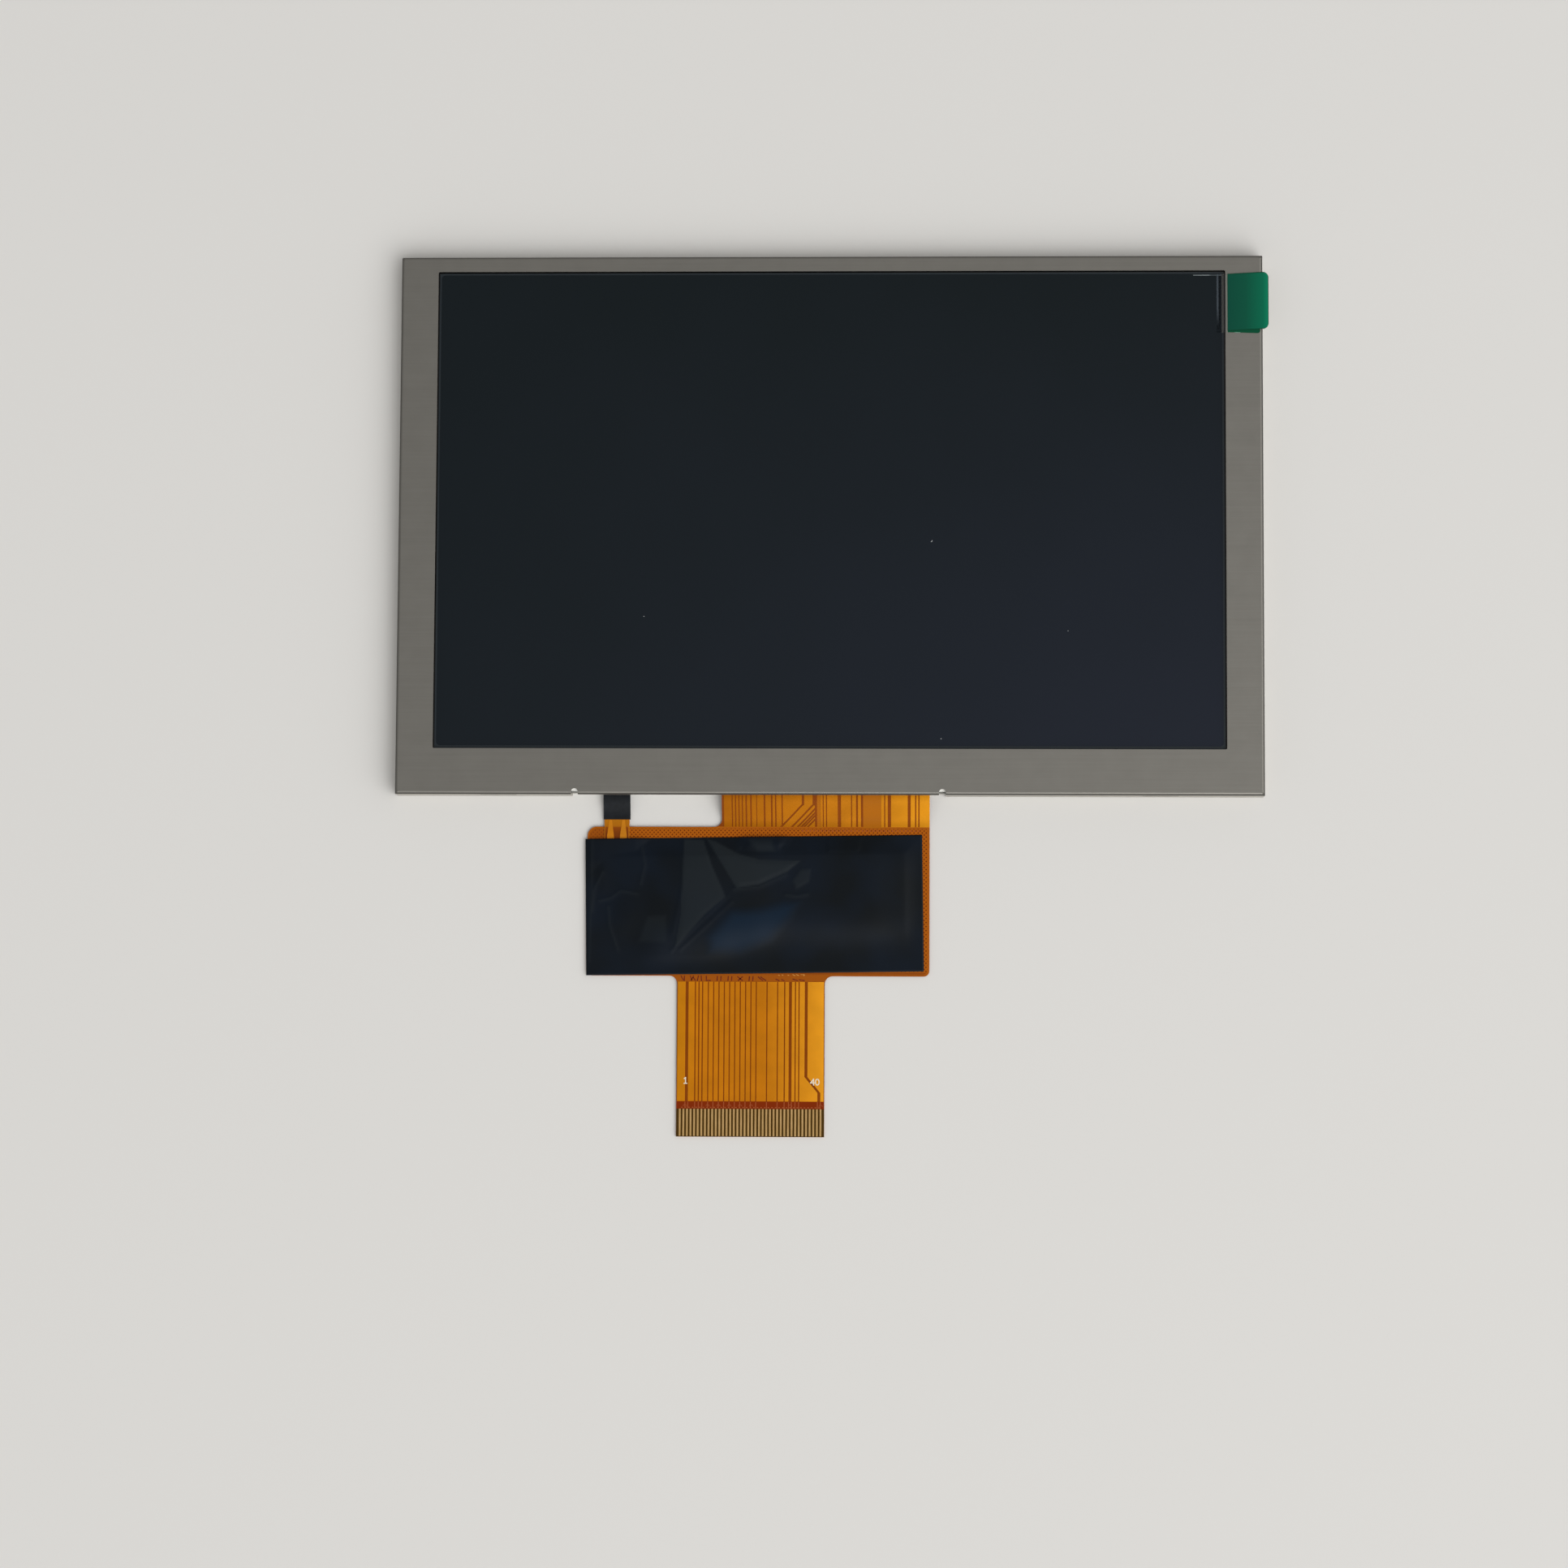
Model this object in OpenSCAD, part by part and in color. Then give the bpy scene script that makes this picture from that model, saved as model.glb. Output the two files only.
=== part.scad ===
// TFT display module, 5 inch class, with backlight, folded bezel and flexible circuit.
// Millimetres. The origin is on the back face, under the middle of the bezel. +X is right,
// +Y is up the screen and +Z comes out of the screen. The module lies on its back face, with
// the flexible circuit laid out flat below its lower edge.

/* [Module] */
// Width of the active area
active_w = 108.0; // [100:0.1:122]
// Height of the active area
active_h = 64.8; // [58:0.1:73]
// Thickness from back face to bezel face
module_t = 3.0; // [2.9:0.05:3.6]

/* [Bezel] */
// Thickness of the bezel sheet
bezel_sheet = 0.25; // [0.15:0.05:0.3]
// Outer radius of the bezel's folds
bezel_bend_r = 0.4; // [0.35:0.05:0.7]
// Bezel face beside the window, at each side
border_side = 5.2; // [4.6:0.1:9]
// Bezel face above the window
border_top = 2.1; // [1.8:0.1:6]
// Bezel face below the window, over the driver chips
border_bottom = 6.4; // [5.7:0.1:10]
// Window beyond the active area at each side
window_margin_x = 1.15; // [0.8:0.05:1.4]
// Window beyond the active area above and below
window_margin_y = 1.25; // [0.8:0.05:1.4]
// Radius in the window's corners
window_corner_r = 0.2; // [0.1:0.05:0.8]
// Slit between two folds at a corner
corner_slit = 0.05; // [0.05:0.05:0.3]
// Height of the bezel walls' lower edge above the back face
wall_clear = 0.1; // [0.05:0.05:0.3]
// Height of the short lip over the flex exit
lip_h = 0.85; // [0.6:0.05:0.95]
// Lip beyond the LED tail, to the left relief hole
lip_margin_left = 4.05; // [1:0.05:8]
// Lip beyond the neck, to the right relief hole
lip_margin_right = 1.75; // [1:0.05:8]
// Diameter of the relief holes at the lip's ends
relief_d = 0.95; // [0.5:0.05:1.2]

/* [Back plate] */
// Thickness of the back plate sheet
back_sheet = 0.2; // [0.15:0.05:0.3]
// Height of the back plate's walls above the back face
back_wall_h = 1.2; // [1.1:0.05:1.35]
// Gap between bezel walls, back plate walls and mould frame
sheet_gap = 0.05; // [0.03:0.01:0.08]

/* [Latches] */
// Width of a latch window
latch_w = 5; // [3:0.5:8]
// Height of a bezel latch window
latch_h = 0.6; // [0.4:0.05:0.7]
// Height of a back plate latch window
back_latch_h = 0.4; // [0.3:0.05:0.45]
// Distance of the latches on the long walls from the middle
latch_x = 46; // [42:0.5:50]
// Distance of the latches on the short walls from the middle
latch_y = 20; // [12:0.5:28]

/* [Display cell] */
// Thickness of each glass
glass_t = 0.5; // [0.4:0.05:0.55]
// Glass beyond the active area at each side
glass_margin_side = 2.6; // [2.2:0.1:3]
// Glass beyond the active area above
glass_margin_top = 2.0; // [1.7:0.1:2.2]
// Colour filter glass beyond the active area below
glass_margin_bottom = 1.85; // [1.6:0.05:2]
// Array glass beyond the colour filter glass, for the chips and the flex
ledge_w = 3.9; // [3.6:0.1:4]
// Thickness of the rear polariser
rear_polariser_t = 0.13; // [0.1:0.01:0.18]
// Rear polariser beyond the active area
rear_polariser_margin = 1.4; // [1.2:0.1:1.6]
// Thickness of the front polariser
front_polariser_t = 0.2; // [0.12:0.01:0.22]
// Gap between the front polariser and the window's edge
polariser_gap = 0.2; // [0.1:0.05:0.4]
// Thickness of the protective film
film_t = 0.06; // [0.04:0.01:0.08]
// Protective film's edge inside the window's edge
film_inset = 0.45; // [0.3:0.05:0.9]
// Radius of the protective film's corners
film_corner_r = 0.5; // [0.2:0.1:1.5]

/* [Driver chips] */
// Length of the source driver chip
source_chip_l = 24; // [18:0.5:28]
// Length of the gate driver chip
gate_chip_l = 14; // [10:0.5:18]
// Width of a driver chip
driver_chip_w = 1.3; // [0.9:0.05:1.6]
// Thickness of a driver chip
driver_chip_t = 0.35; // [0.25:0.05:0.4]
// Gate driver chip's middle, right of the module's middle
gate_chip_x = 34; // [28:0.5:40]

/* [Backlight] */
// Thickness of the reflector film
reflector_t = 0.07; // [0.05:0.01:0.1]
// Thickness of the light guide
guide_t = 0.6; // [0.5:0.05:0.65]
// Light guide beyond the active area at the sides and the top
guide_margin = 1.2; // [0.8:0.1:1.4]
// Light guide beyond the active area toward the LEDs
guide_lead = 2.4; // [2.2:0.1:2.6]
// Gap round the light guide
guide_gap = 0.1; // [0.05:0.05:0.2]
// Thickness of the diffuser film
diffuser_t = 0.1; // [0.08:0.01:0.12]
// Thickness of each prism film
prism_t = 0.09; // [0.06:0.01:0.1]
// Thickness of the rim tape
rim_tape_t = 0.06; // [0.04:0.01:0.08]
// Rim tape's opening beyond the active area
rim_tape_open = 0.6; // [0.4:0.1:0.9]
// Gap between the cell and the mould frame
cell_gap = 0.15; // [0.1:0.05:0.2]

/* [LEDs] */
// Number of LEDs
led_count = 18; // [9:1:19]
// Length of an LED
led_l = 3.8; // [3:0.1:4.4]
// Depth of an LED behind its light face
led_d = 1.0; // [0.8:0.05:1.1]
// Width of the LED's light window
led_window_l = 3.0; // [2.4:0.1:3.2]
// Depth of the LED's light window
led_window_d = 0.3; // [0.2:0.05:0.4]

/* [LED flex] */
// Thickness of the LED flex
led_flex_t = 0.1; // [0.08:0.01:0.14]
// Width of the LED tail
led_tail_w = 3.5; // [3:0.1:5]
// LED tail's middle, from the component area's left edge
led_tail_inset = 4.1; // [2.5:0.1:8]
// LED tail's overlap on the main flex
led_tail_lap = 4.2; // [3.6:0.1:5]
// Bend radius where the LED tail comes down
led_bend_r = 3.0; // [2:0.1:4]
// Wall of the black sleeve round the LED tail
sleeve_t = 0.05; // [0.03:0.01:0.08]
// Sleeve beyond the end of the LED tail's bend
sleeve_beyond = 0.6; // [0.2:0.1:1]

/* [Main flex] */
// Thickness of the film
flex_t = 0.09; // [0.06:0.01:0.12]
// Thickness of the copper with its cover layer
copper_t = 0.03; // [0.02:0.01:0.04]
// Width of the neck
neck_w = 28.9; // [24:0.1:32]
// Neck's middle, from the module's middle
neck_x = -0.4; // [-3:0.1:2]
// Length of the bond on the array glass
bond_l = 1.2; // [0.9:0.1:1.4]
// Bend radius where the neck comes down
neck_bend_r = 3.5; // [2:0.1:5]
// Width of the component area
area_w = 47.65; // [45:0.05:56]
// Height of the component area
area_h = 20.75; // [20:0.05:26]
// Outer corner radius, upper left
area_corner_r = 1.3; // [0.5:0.1:2]
// Outer corner radius, lower right and lower left
area_low_corner_r = 0.8; // [0.3:0.1:1.5]
// Inner fillets of the film's outline
fillet_r = 1.1; // [0.5:0.1:2]

/* [Contact tail] */
// Number of contacts
contact_count = 40; // [30:1:50]
// Pitch of the contacts
contact_pitch = 0.5; // [0.5:0.1:0.6]
// Width of a contact
contact_w = 0.25; // [0.2:0.05:0.35]
// Length of a contact
contact_l = 3.75; // [3:0.05:5]
// Film beyond the contacts' ends
contact_end = 0.1; // [0.05:0.05:0.3]
// Bare band between traces and contacts
contact_band = 1.05; // [0.6:0.05:1.5]
// Length of the tail below the component area
tail_l = 22.25; // [18:0.05:40]
// Tail's middle, from the module's middle
tail_x = -10.7; // [-12:0.1:-9]
// Thickness of the stiffener under the contacts
stiffener_t = 0.2; // [0.15:0.01:0.22]
// Length of the stiffener
stiffener_l = 7; // [5:0.5:9]

/* [Component tape] */
// Width of the tape
tape_w = 46.9; // [45.5:0.1:47]
// Height of the tape
tape_h = 19.0; // [18:0.1:19.2]
// Thickness of the tape
tape_t = 0.08; // [0.05:0.01:0.12]
// Turn of the tape on the component area, in degrees
tape_turn = 0.85; // [0:0.05:1]

/* [Pull tab] */
// Thickness of the tab strip
tab_t = 0.06; // [0.04:0.01:0.08]
// Height of the tab along the screen's edge
tab_h = 8.3; // [6:0.1:14]
// Tab's upper edge below the window's upper edge
tab_drop = 0.5; // [0.5:0.1:3]
// Reach of the green flap beyond the window's edge
tab_reach = 6.0; // [5.6:0.1:8]
// Reach of the stuck layer under the flap
tab_under_reach = 4.85; // [4:0.05:5]
// Rise of the flap's long edges to the right, in degrees
tab_turn = 3.1; // [0:0.1:4]
// Fall of the stuck layer's long edges to the right, in degrees
tab_under_turn = 1.9; // [0:0.1:3]
// Radius of the flap's free corners
tab_corner_r = 0.8; // [0.3:0.1:1.5]

/* [Hidden] */
$fn = 96;
// Overshoot of a cutting shape past the face that it cuts
cut = 1;
// Level stretch at the end of a bend, where it joins the next piece of the ribbon
bend_lap = 0.2;
// Length over which shapes of one piece run into each other
root_lap = 0.1;

// Outline of the module: the active area, the window round it and the bezel's borders
window_w = active_w + 2 * window_margin_x;
window_h = active_h + 2 * window_margin_y;
module_w = window_w + 2 * border_side;
module_h = window_h + border_top + border_bottom;
module_right = module_w / 2;
module_top = module_h / 2;
window_right = window_w / 2;
window_top = module_top - border_top;
window_bottom = window_top - window_h;

// Edges of the active area and of the layers that follow it
active_right = active_w / 2;
active_top = window_top - window_margin_y;
active_bottom = active_top - active_h;
glass_right = active_right + glass_margin_side;
glass_top = active_top + glass_margin_top;
filter_bottom = active_bottom - glass_margin_bottom;
array_bottom = filter_bottom - ledge_w;
guide_right = active_right + guide_margin;
guide_top = active_top + guide_margin;
guide_bottom = active_bottom - guide_lead;

// Bottom face of each layer, from the back plate up
reflector_z = back_sheet;
guide_z = reflector_z + reflector_t;
diffuser_z = guide_z + guide_t;
prism_lower_z = diffuser_z + diffuser_t;
prism_upper_z = prism_lower_z + prism_t;
ledge_z = prism_upper_z + prism_t;
rear_polariser_z = ledge_z + rim_tape_t;
array_z = rear_polariser_z + rear_polariser_t;
filter_z = array_z + glass_t;
front_polariser_z = filter_z + glass_t;
film_z = front_polariser_z + front_polariser_t;
screen_z = film_z + film_t;

// Nested shells: bezel wall, back plate wall, mould frame
plate_inset = bezel_sheet + sheet_gap;
frame_inset = plate_inset + back_sheet + sheet_gap;
frame_right = module_right - frame_inset;
frame_top = module_top - frame_inset;
frame_top_z = module_t - bezel_sheet;
latch_above_wall = 0.3;
latch_z = back_wall_h + latch_above_wall;
back_latch_rise = 0.35;
back_latch_z = back_sheet + back_latch_rise;
latch_play = 0.05;
latch_slope = 0.55;
corner_notch = 0.8;
// Room round the LED tail and the neck where they leave the module
slot_play = 0.2;
slot_play_z = 0.05;

// LED row: the LEDs face the light guide's lower edge
led_pitch = 2 * guide_right / led_count;
led_gap = 0.05;
led_front = guide_bottom - led_gap;
led_back = led_front - led_d;
led_strip_lap = 0.35;
led_strip_top = guide_bottom + led_strip_lap;
led_strip_edge = 0.15;
led_strip_bottom = led_back - led_strip_edge;
led_strip_inset = 0.5;
bay_bottom = led_strip_bottom - guide_gap;
optical_film_bottom = led_strip_top + guide_gap;

// Main flex: level on the array glass, two bends, then level on the stiffener's height
neck_left = neck_x - neck_w / 2;
neck_right = neck_x + neck_w / 2;
bend_inset = 0.2;
neck_bend_y = bend_inset - module_top;
flex_z = stiffener_t;
flex_mid = flex_z + flex_t / 2;
neck_drop = filter_z - flex_z;
neck_run = bend_run(neck_bend_r, neck_drop);
bond_top = array_bottom + bond_l;
copper_z = flex_z + flex_t;
deck_z = copper_z + copper_t;
area_top = neck_bend_y - neck_run;
area_bottom = area_top - area_h;
area_right = neck_right;
area_left = area_right - area_w;
tail_w = (contact_count + 1) * contact_pitch;
tail_left = tail_x - tail_w / 2;
tail_right = tail_x + tail_w / 2;
tail_bottom = area_bottom - tail_l;
contact_top = tail_bottom + contact_end + contact_l;
trace_bottom = contact_top + contact_band;
trace_start = 0.8;
trace_top = area_bottom - trace_start;
copper_edge = 0.1;
copper_past_bend = 0.1;
ground_edge = 0.25;
ground_corner_r = 0.2;

// LED tail: out over the frame, down onto the main flex
led_mid = diffuser_z + led_flex_t / 2;
led_bend_y = -module_top - bend_inset;
led_drop = diffuser_z - deck_z;
led_run = bend_run(led_bend_r, led_drop);
led_tail_x = area_left + led_tail_inset;
led_tail_left = led_tail_x - led_tail_w / 2;
led_tail_right = led_tail_x + led_tail_w / 2;
led_tail_end = area_top - led_tail_lap;
sleeve_end = led_bend_y - led_run - sleeve_beyond;
sleeve_inside = 0.75;
sleeve_start = -frame_top + sleeve_inside;
sleeve_side = 0.12;
tail_slot_w = led_tail_w + 2 * (sleeve_side + slot_play);
tail_slot_z = diffuser_z - sleeve_t - slot_play_z;
led_pad_t = 0.02;
led_pad_narrow = 0.35;
led_pad_wide = 0.95;
led_pad_neck_l = 2.2;
led_pad_gap = 0.05;
led_pad_end = 0.3;

// Lip over the flex exit, between the two relief holes
lip_left = led_tail_left - lip_margin_left;
lip_right = neck_right + lip_margin_right;
relief_inset = 0.35;
relief_y = relief_inset - module_top;

// Gaps between copper planes across the neck, from its left edge: start, count, pitch, width
neck_gap_runs = [
    [0.15, 1, 0, 0.3],
    [1.45, 4, 0.47, 0.15],
    [3.4, 2, 0.66, 0.2],
    [4.85, 1, 0, 0.1],
    [5.95, 2, 1, 0.22],
    [7.5, 2, 0.9, 0.18],
    [13.35, 1, 0, 0.8],
    [14.1, 2, 0.46, 0.15],
    [16.35, 1, 0, 0.45],
    [18.05, 1, 0, 0.15],
    [18.8, 1, 0, 0.25],
    [20.75, 1, 0, 2.8],
    [22.65, 1, 0, 0.15],
    [23.3, 1, 0, 0.45],
    [26.05, 1, 0, 0.4],
    [26.95, 2, 0.45, 0.18]
];
// Slanting gaps of the neck: where each leaves the component area, from the neck's left edge
neck_slant_starts = [8.2, 9.7, 10.5, 11, 11.4, 11.9];
neck_slant_w = 0.16;
neck_slant_limit = 12.95;
neck_slant_rise = 3.1;

// Gaps between copper planes across the tail, from its left edge: start, count, pitch, width
tail_gap_runs = [
    [1.4, 1, 0, 0.4],
    [2.55, 3, 0.5, 0.16],
    [4.35, 10, 0.74, 0.15],
    [12.5, 2, 1.47, 0.15],
    [14.95, 1, 0, 0.16],
    [15.75, 1, 0, 0.4],
    [16.45, 2, 0.5, 0.16]
];
// The one gap that jogs sideways: start, sideways step, its height above the traces' ends
jog_start = 17.95;
jog_step = 1.8;
jog_top = 3.4;
jog_bottom = 1.2;
jog_w = 0.4;

// Parts under the tape: middle from the component area's upper left corner, then size
power_chip_at = [24.6, -8.0];
power_chip_size = [4, 4, 0.55];
buffer_chip_at = [35.6, -8.8];
buffer_chip_size = [2.9, 1.6, 0.55];
buffer_lead = [0.4, 0.6, 0.12];
buffer_lead_pitch = 0.95;
inductor_at = [19.1, -9.3];
inductor_size = [3, 3, 0.65];
diode_at = [14.8, -8.3];
diode_size = [1.7, 1.25, 0.5];
diode_lead = [0.45, 0.4, 0.12];
capacitor_size = [1.6, 0.8, 0.5];
capacitors_at = [[19.1, -5.1], [24.6, -4.2], [29.1, -5.3], [14.1, -12.3], [35.6, -5]];
resistor_size = [1, 0.5, 0.35];
resistors_at = [[9.6, -6.8], [9.6, -8.8], [40.1, -7.8], [40.1, -9.8]];
terminal_l = 0.25;
terminal_t = 0.04;
terminal_lap = 0.05;

// Solder joints of the LED tail
solder_r = 0.5;
solder_top_r = 0.3;
solder_h = 0.12;
solder_spread = 0.9;
solder_from_end = 1.1;

// Rim tape, front polariser and pull tab
rim_tape_edge = 0.1;
polariser_lap = 0.15;
tab_step = 0.02;
tab_bend_r = 0.3;
tab_foot_l = 0.6;
flap_inset = 0.3;
flap_low = 0.19;
flap_drop = 0.05;
tab_under_r = 0.4;

function bend_run(r, drop) = sqrt(drop * (4 * r - drop));
function two_digits(i) = i < 10 ? str("0", i) : str(i);
function led_name(i) = str("led_", two_digits(i));
function capacitor_name(i) = str("capacitor_", i);
function resistor_name(i) = str("resistor_", i);

// ---------- shared shapes ----------

// Level sheet between two corners
module sheet(low, high, z, t) {
    translate([low[0], low[1], z]) cube([high[0] - low[0], high[1] - low[1], t]);
}

// What rounds off the lower left corner of an outline at the origin
module corner_cut(r) {
    difference() {
        translate([-cut, -cut]) square(r + cut);
        translate([r, r]) circle(r);
    }
}

// Outline between two corners, with a radius for each: lower left, lower right, upper right,
// upper left
module rounded(low, high, r) {
    places = [low, [high[0], low[1]], high, [low[0], high[1]]];
    difference() {
        translate(low) square(high - low);
        for (i = [0:3]) {
            if (r[i] > 0) translate(places[i]) rotate(90 * i) corner_cut(r[i]);
        }
    }
}

// Fillet in an inner corner; turn 0 fills the quarter right of and above the point
module fillet(at, turn) {
    translate(at) rotate(turn) difference() {
        square(fillet_r);
        translate([fillet_r, fillet_r]) circle(fillet_r);
    }
}

// Quarter band between two radii, right of and above the origin
module quarter_band(r_in, r_out) {
    intersection() {
        difference() {
            circle(r_out);
            circle(r_in);
        }
        square(r_out + cut);
    }
}

// Move in a coarse and a fine step, which keeps curves that meet tangent
module finely_moved(v) {
    coarse = [round(v[0] * 100) / 100, round(v[1] * 100) / 100];
    translate(coarse) translate(v - coarse) children();
}

// Section through one layer of a ribbon that leaves the origin level toward -X, comes down by
// drop in two equal bends of radius r and ends in a short level stretch; low and high are
// measured from the ribbon's middle. The line between the two centres divides the bends.
module bent_layer(r, drop, low, high) {
    run = bend_run(r, drop);
    upper = [0, -r];
    lower = [-run, r - drop];
    intersection() {
        translate(upper) difference() {
            circle(r + high);
            circle(r + low);
        }
        polygon([upper, lower, [0, 2 * r]]);
    }
    intersection() {
        finely_moved(lower) difference() {
            circle(r - low);
            circle(r - high);
        }
        polygon([lower, upper, [-run, -drop - 2 * r]]);
    }
    translate([-run - bend_lap, low - drop]) square([bend_lap, high - low]);
}

// Carries a section drawn as [y, z] along X
module along_x(from, to) {
    translate([from, 0, 0]) rotate([90, 0, 90]) linear_extrude(height = to - from) children();
}

// Carries a section drawn as [x, z] along Y
module along_y(from, to) {
    translate([0, to, 0]) rotate([90, 0, 0]) linear_extrude(height = to - from) children();
}

// Straight gaps across a ribbon, from its left edge
module gap_runs(runs, left, low, high) {
    for (run = runs, i = [0:run[1] - 1]) {
        translate([left + run[0] + i * run[2] - run[3] / 2, low]) square([run[3], high - low]);
    }
}

// ---------- bezel ----------

// Section of one folded edge, with the outer plane at X = 0 and the wall down to low
module fold_section(low) {
    translate([-bezel_bend_r - root_lap, module_t - bezel_sheet])
        square([root_lap, bezel_sheet]);
    translate([-bezel_bend_r, module_t - bezel_bend_r])
        quarter_band(bezel_bend_r - bezel_sheet, bezel_bend_r);
    translate([-bezel_sheet, low]) square([bezel_sheet, module_t - bezel_bend_r - low]);
}

// Folded edge on the long sides: sign 1 is the upper one
module long_fold(sign, from, to, low) {
    along_x(from, to) translate([sign * module_top, 0]) mirror([sign < 0 ? 1 : 0, 0])
        fold_section(low);
}

// Folded edge on the short sides: sign 1 is the right one
module short_fold(sign) {
    along_y(-module_top, module_top) translate([sign * module_right, 0])
        mirror([sign < 0 ? 1 : 0, 0]) fold_section(wall_clear);
}

// Room of the fold on one side, whose ends are mitred against its neighbours with a slit
// between; half is half the length of that side, reach its distance from the middle
module mitred_side(half, reach, turn) {
    end = half - corner_slit / sqrt(2);
    depth = bezel_bend_r + root_lap;
    rotate(turn) linear_extrude(height = module_t + cut)
        polygon([[-end - cut, reach + cut], [end + cut, reach + cut],
                 [end - depth, reach - depth], [depth - end, reach - depth]]);
}

// Windows through the walls that take the mould frame's latches
module latch_windows(inset, w, h, z) {
    for (sx = [-1, 1], sy = [-1, 1]) {
        translate([sx * latch_x - w / 2, sy * (module_top - inset) - cut, z]) cube([w, 2 * cut, h]);
        translate([sx * (module_right - inset) - cut, sy * latch_y - w / 2, z])
            cube([2 * cut, w, h]);
    }
}

module bezel() {
    face_right = module_right - bezel_bend_r;
    face_top = module_top - bezel_bend_r;
    color("#76736d") difference() {
        union() {
            translate([0, 0, module_t - bezel_sheet]) linear_extrude(height = bezel_sheet)
                difference() {
                    translate([-face_right, -face_top]) square([2 * face_right, 2 * face_top]);
                    rounded([-window_right, window_bottom], [window_right, window_top],
                            [for (i = [0:3]) window_corner_r]);
                }
            intersection() {
                long_fold(1, -module_right, module_right, wall_clear);
                mitred_side(module_right, module_top, 0);
            }
            intersection() {
                union() {
                    long_fold(-1, -module_right, lip_left, wall_clear);
                    long_fold(-1, lip_left, lip_right, module_t - lip_h);
                    long_fold(-1, lip_right, module_right, wall_clear);
                }
                mitred_side(module_right, module_top, 180);
            }
            for (side = [-1, 1]) intersection() {
                short_fold(side);
                mitred_side(module_top, module_right, -90 * side);
            }
        }
        for (x = [lip_left, lip_right]) {
            translate([x, relief_y, 0]) cylinder(d = relief_d, h = module_t + cut);
            translate([x - relief_d / 2, relief_y - 2 * cut, -cut])
                cube([relief_d, 2 * cut, module_t + 2 * cut]);
        }
        latch_windows(bezel_sheet / 2, latch_w, latch_h, latch_z);
    }
}

// ---------- back plate and mould frame ----------

module back_plate() {
    right = module_right - plate_inset;
    top = module_top - plate_inset;
    color("#9a9a97") difference() {
        sheet([-right, -top], [right, top], 0, back_wall_h);
        sheet([-right + back_sheet, -top + back_sheet], [right - back_sheet, top - back_sheet],
              back_sheet, back_wall_h);
        latch_windows(plate_inset + back_sheet / 2, latch_w, back_latch_h, back_latch_z);
        translate([led_tail_x - tail_slot_w / 2, -top - cut, tail_slot_z])
            cube([tail_slot_w, 2 * cut, back_wall_h]);
        for (sx = [-1, 1], sy = [-1, 1]) {
            translate([sx * right, sy * top, back_sheet]) rotate(45)
                translate([-corner_notch / 2, -corner_notch / 2, 0])
                    cube([corner_notch, corner_notch, back_wall_h]);
        }
    }
}

// Section of a latch, drawn outward from the frame; lead 1 slopes the top, -1 the underside
module latch_section(reach, h, lead) {
    slope = h * latch_slope;
    points = lead > 0
        ? [[0, 0], [reach, 0], [reach, h - slope], [0, h]]
        : [[0, 0], [reach, slope], [reach, h], [0, h]];
    translate([-root_lap, 0]) square([root_lap, h]);
    polygon(points);
}

// The eight latches of one row, proud of the mould frame's outside
module latches(reach, w, h, z, lead) {
    for (sx = [-1, 1], sy = [-1, 1]) {
        along_x(sx * latch_x - w / 2, sx * latch_x + w / 2) translate([sy * frame_top, z])
            mirror([sy < 0 ? 1 : 0, 0]) latch_section(reach, h, lead);
        along_y(sy * latch_y - w / 2, sy * latch_y + w / 2) translate([sx * frame_right, z])
            mirror([sx < 0 ? 1 : 0, 0]) latch_section(reach, h, lead);
    }
}

module mould_frame() {
    pocket_right = guide_right + guide_gap;
    color("#e9e9e4") {
        difference() {
            sheet([-frame_right, -frame_top], [frame_right, frame_top], back_sheet,
                  frame_top_z - back_sheet);
            sheet([-pocket_right, bay_bottom], [pocket_right, guide_top + guide_gap],
                  back_sheet - cut, ledge_z - back_sheet + 2 * cut);
            sheet([-glass_right - cell_gap, array_bottom - cell_gap],
                  [glass_right + cell_gap, glass_top + cell_gap], ledge_z, frame_top_z);
            sheet([neck_left - slot_play, -frame_top - cut],
                  [neck_right + slot_play, array_bottom], filter_z - slot_play_z, frame_top_z);
            sheet([led_tail_x - tail_slot_w / 2, -frame_top - cut],
                  [led_tail_x + tail_slot_w / 2, bay_bottom + cut], tail_slot_z, frame_top_z);
        }
        latches(back_sheet + bezel_sheet + 2 * sheet_gap - latch_play, latch_w - 2 * latch_play,
                latch_h - 2 * latch_play, latch_z + latch_play, 1);
        latches(back_sheet + sheet_gap, latch_w - 2 * latch_play,
                back_latch_h - 2 * latch_play, back_latch_z + latch_play, -1);
    }
}

// ---------- backlight ----------

module reflector_film() {
    color("#f4f4f2") sheet([-guide_right, led_back], [guide_right, guide_top], reflector_z,
                           reflector_t);
}

module light_guide() {
    color("#e6eef2") sheet([-guide_right, guide_bottom], [guide_right, guide_top], guide_z,
                           guide_t);
}

// One film of the stack over the light guide
module optical_film(z, t) {
    sheet([-guide_right, optical_film_bottom], [guide_right, guide_top], z, t);
}

module diffuser_film() {
    color("#f2f2f0") optical_film(diffuser_z, diffuser_t);
}

module prism_film_lower() {
    color("#dfe6ea") optical_film(prism_lower_z, prism_t);
}

module prism_film_upper() {
    color("#d6dfe4") optical_film(prism_upper_z, prism_t);
}

module rim_tape() {
    e = rim_tape_edge;
    color("#161616") translate([0, 0, ledge_z]) linear_extrude(height = rim_tape_t) difference() {
        translate([e - glass_right, array_bottom + e])
            square([2 * (glass_right - e), glass_top - array_bottom - 2 * e]);
        translate([-active_right - rim_tape_open, active_bottom - rim_tape_open])
            square([active_w + 2 * rim_tape_open, active_h + 2 * rim_tape_open]);
    }
}

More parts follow.
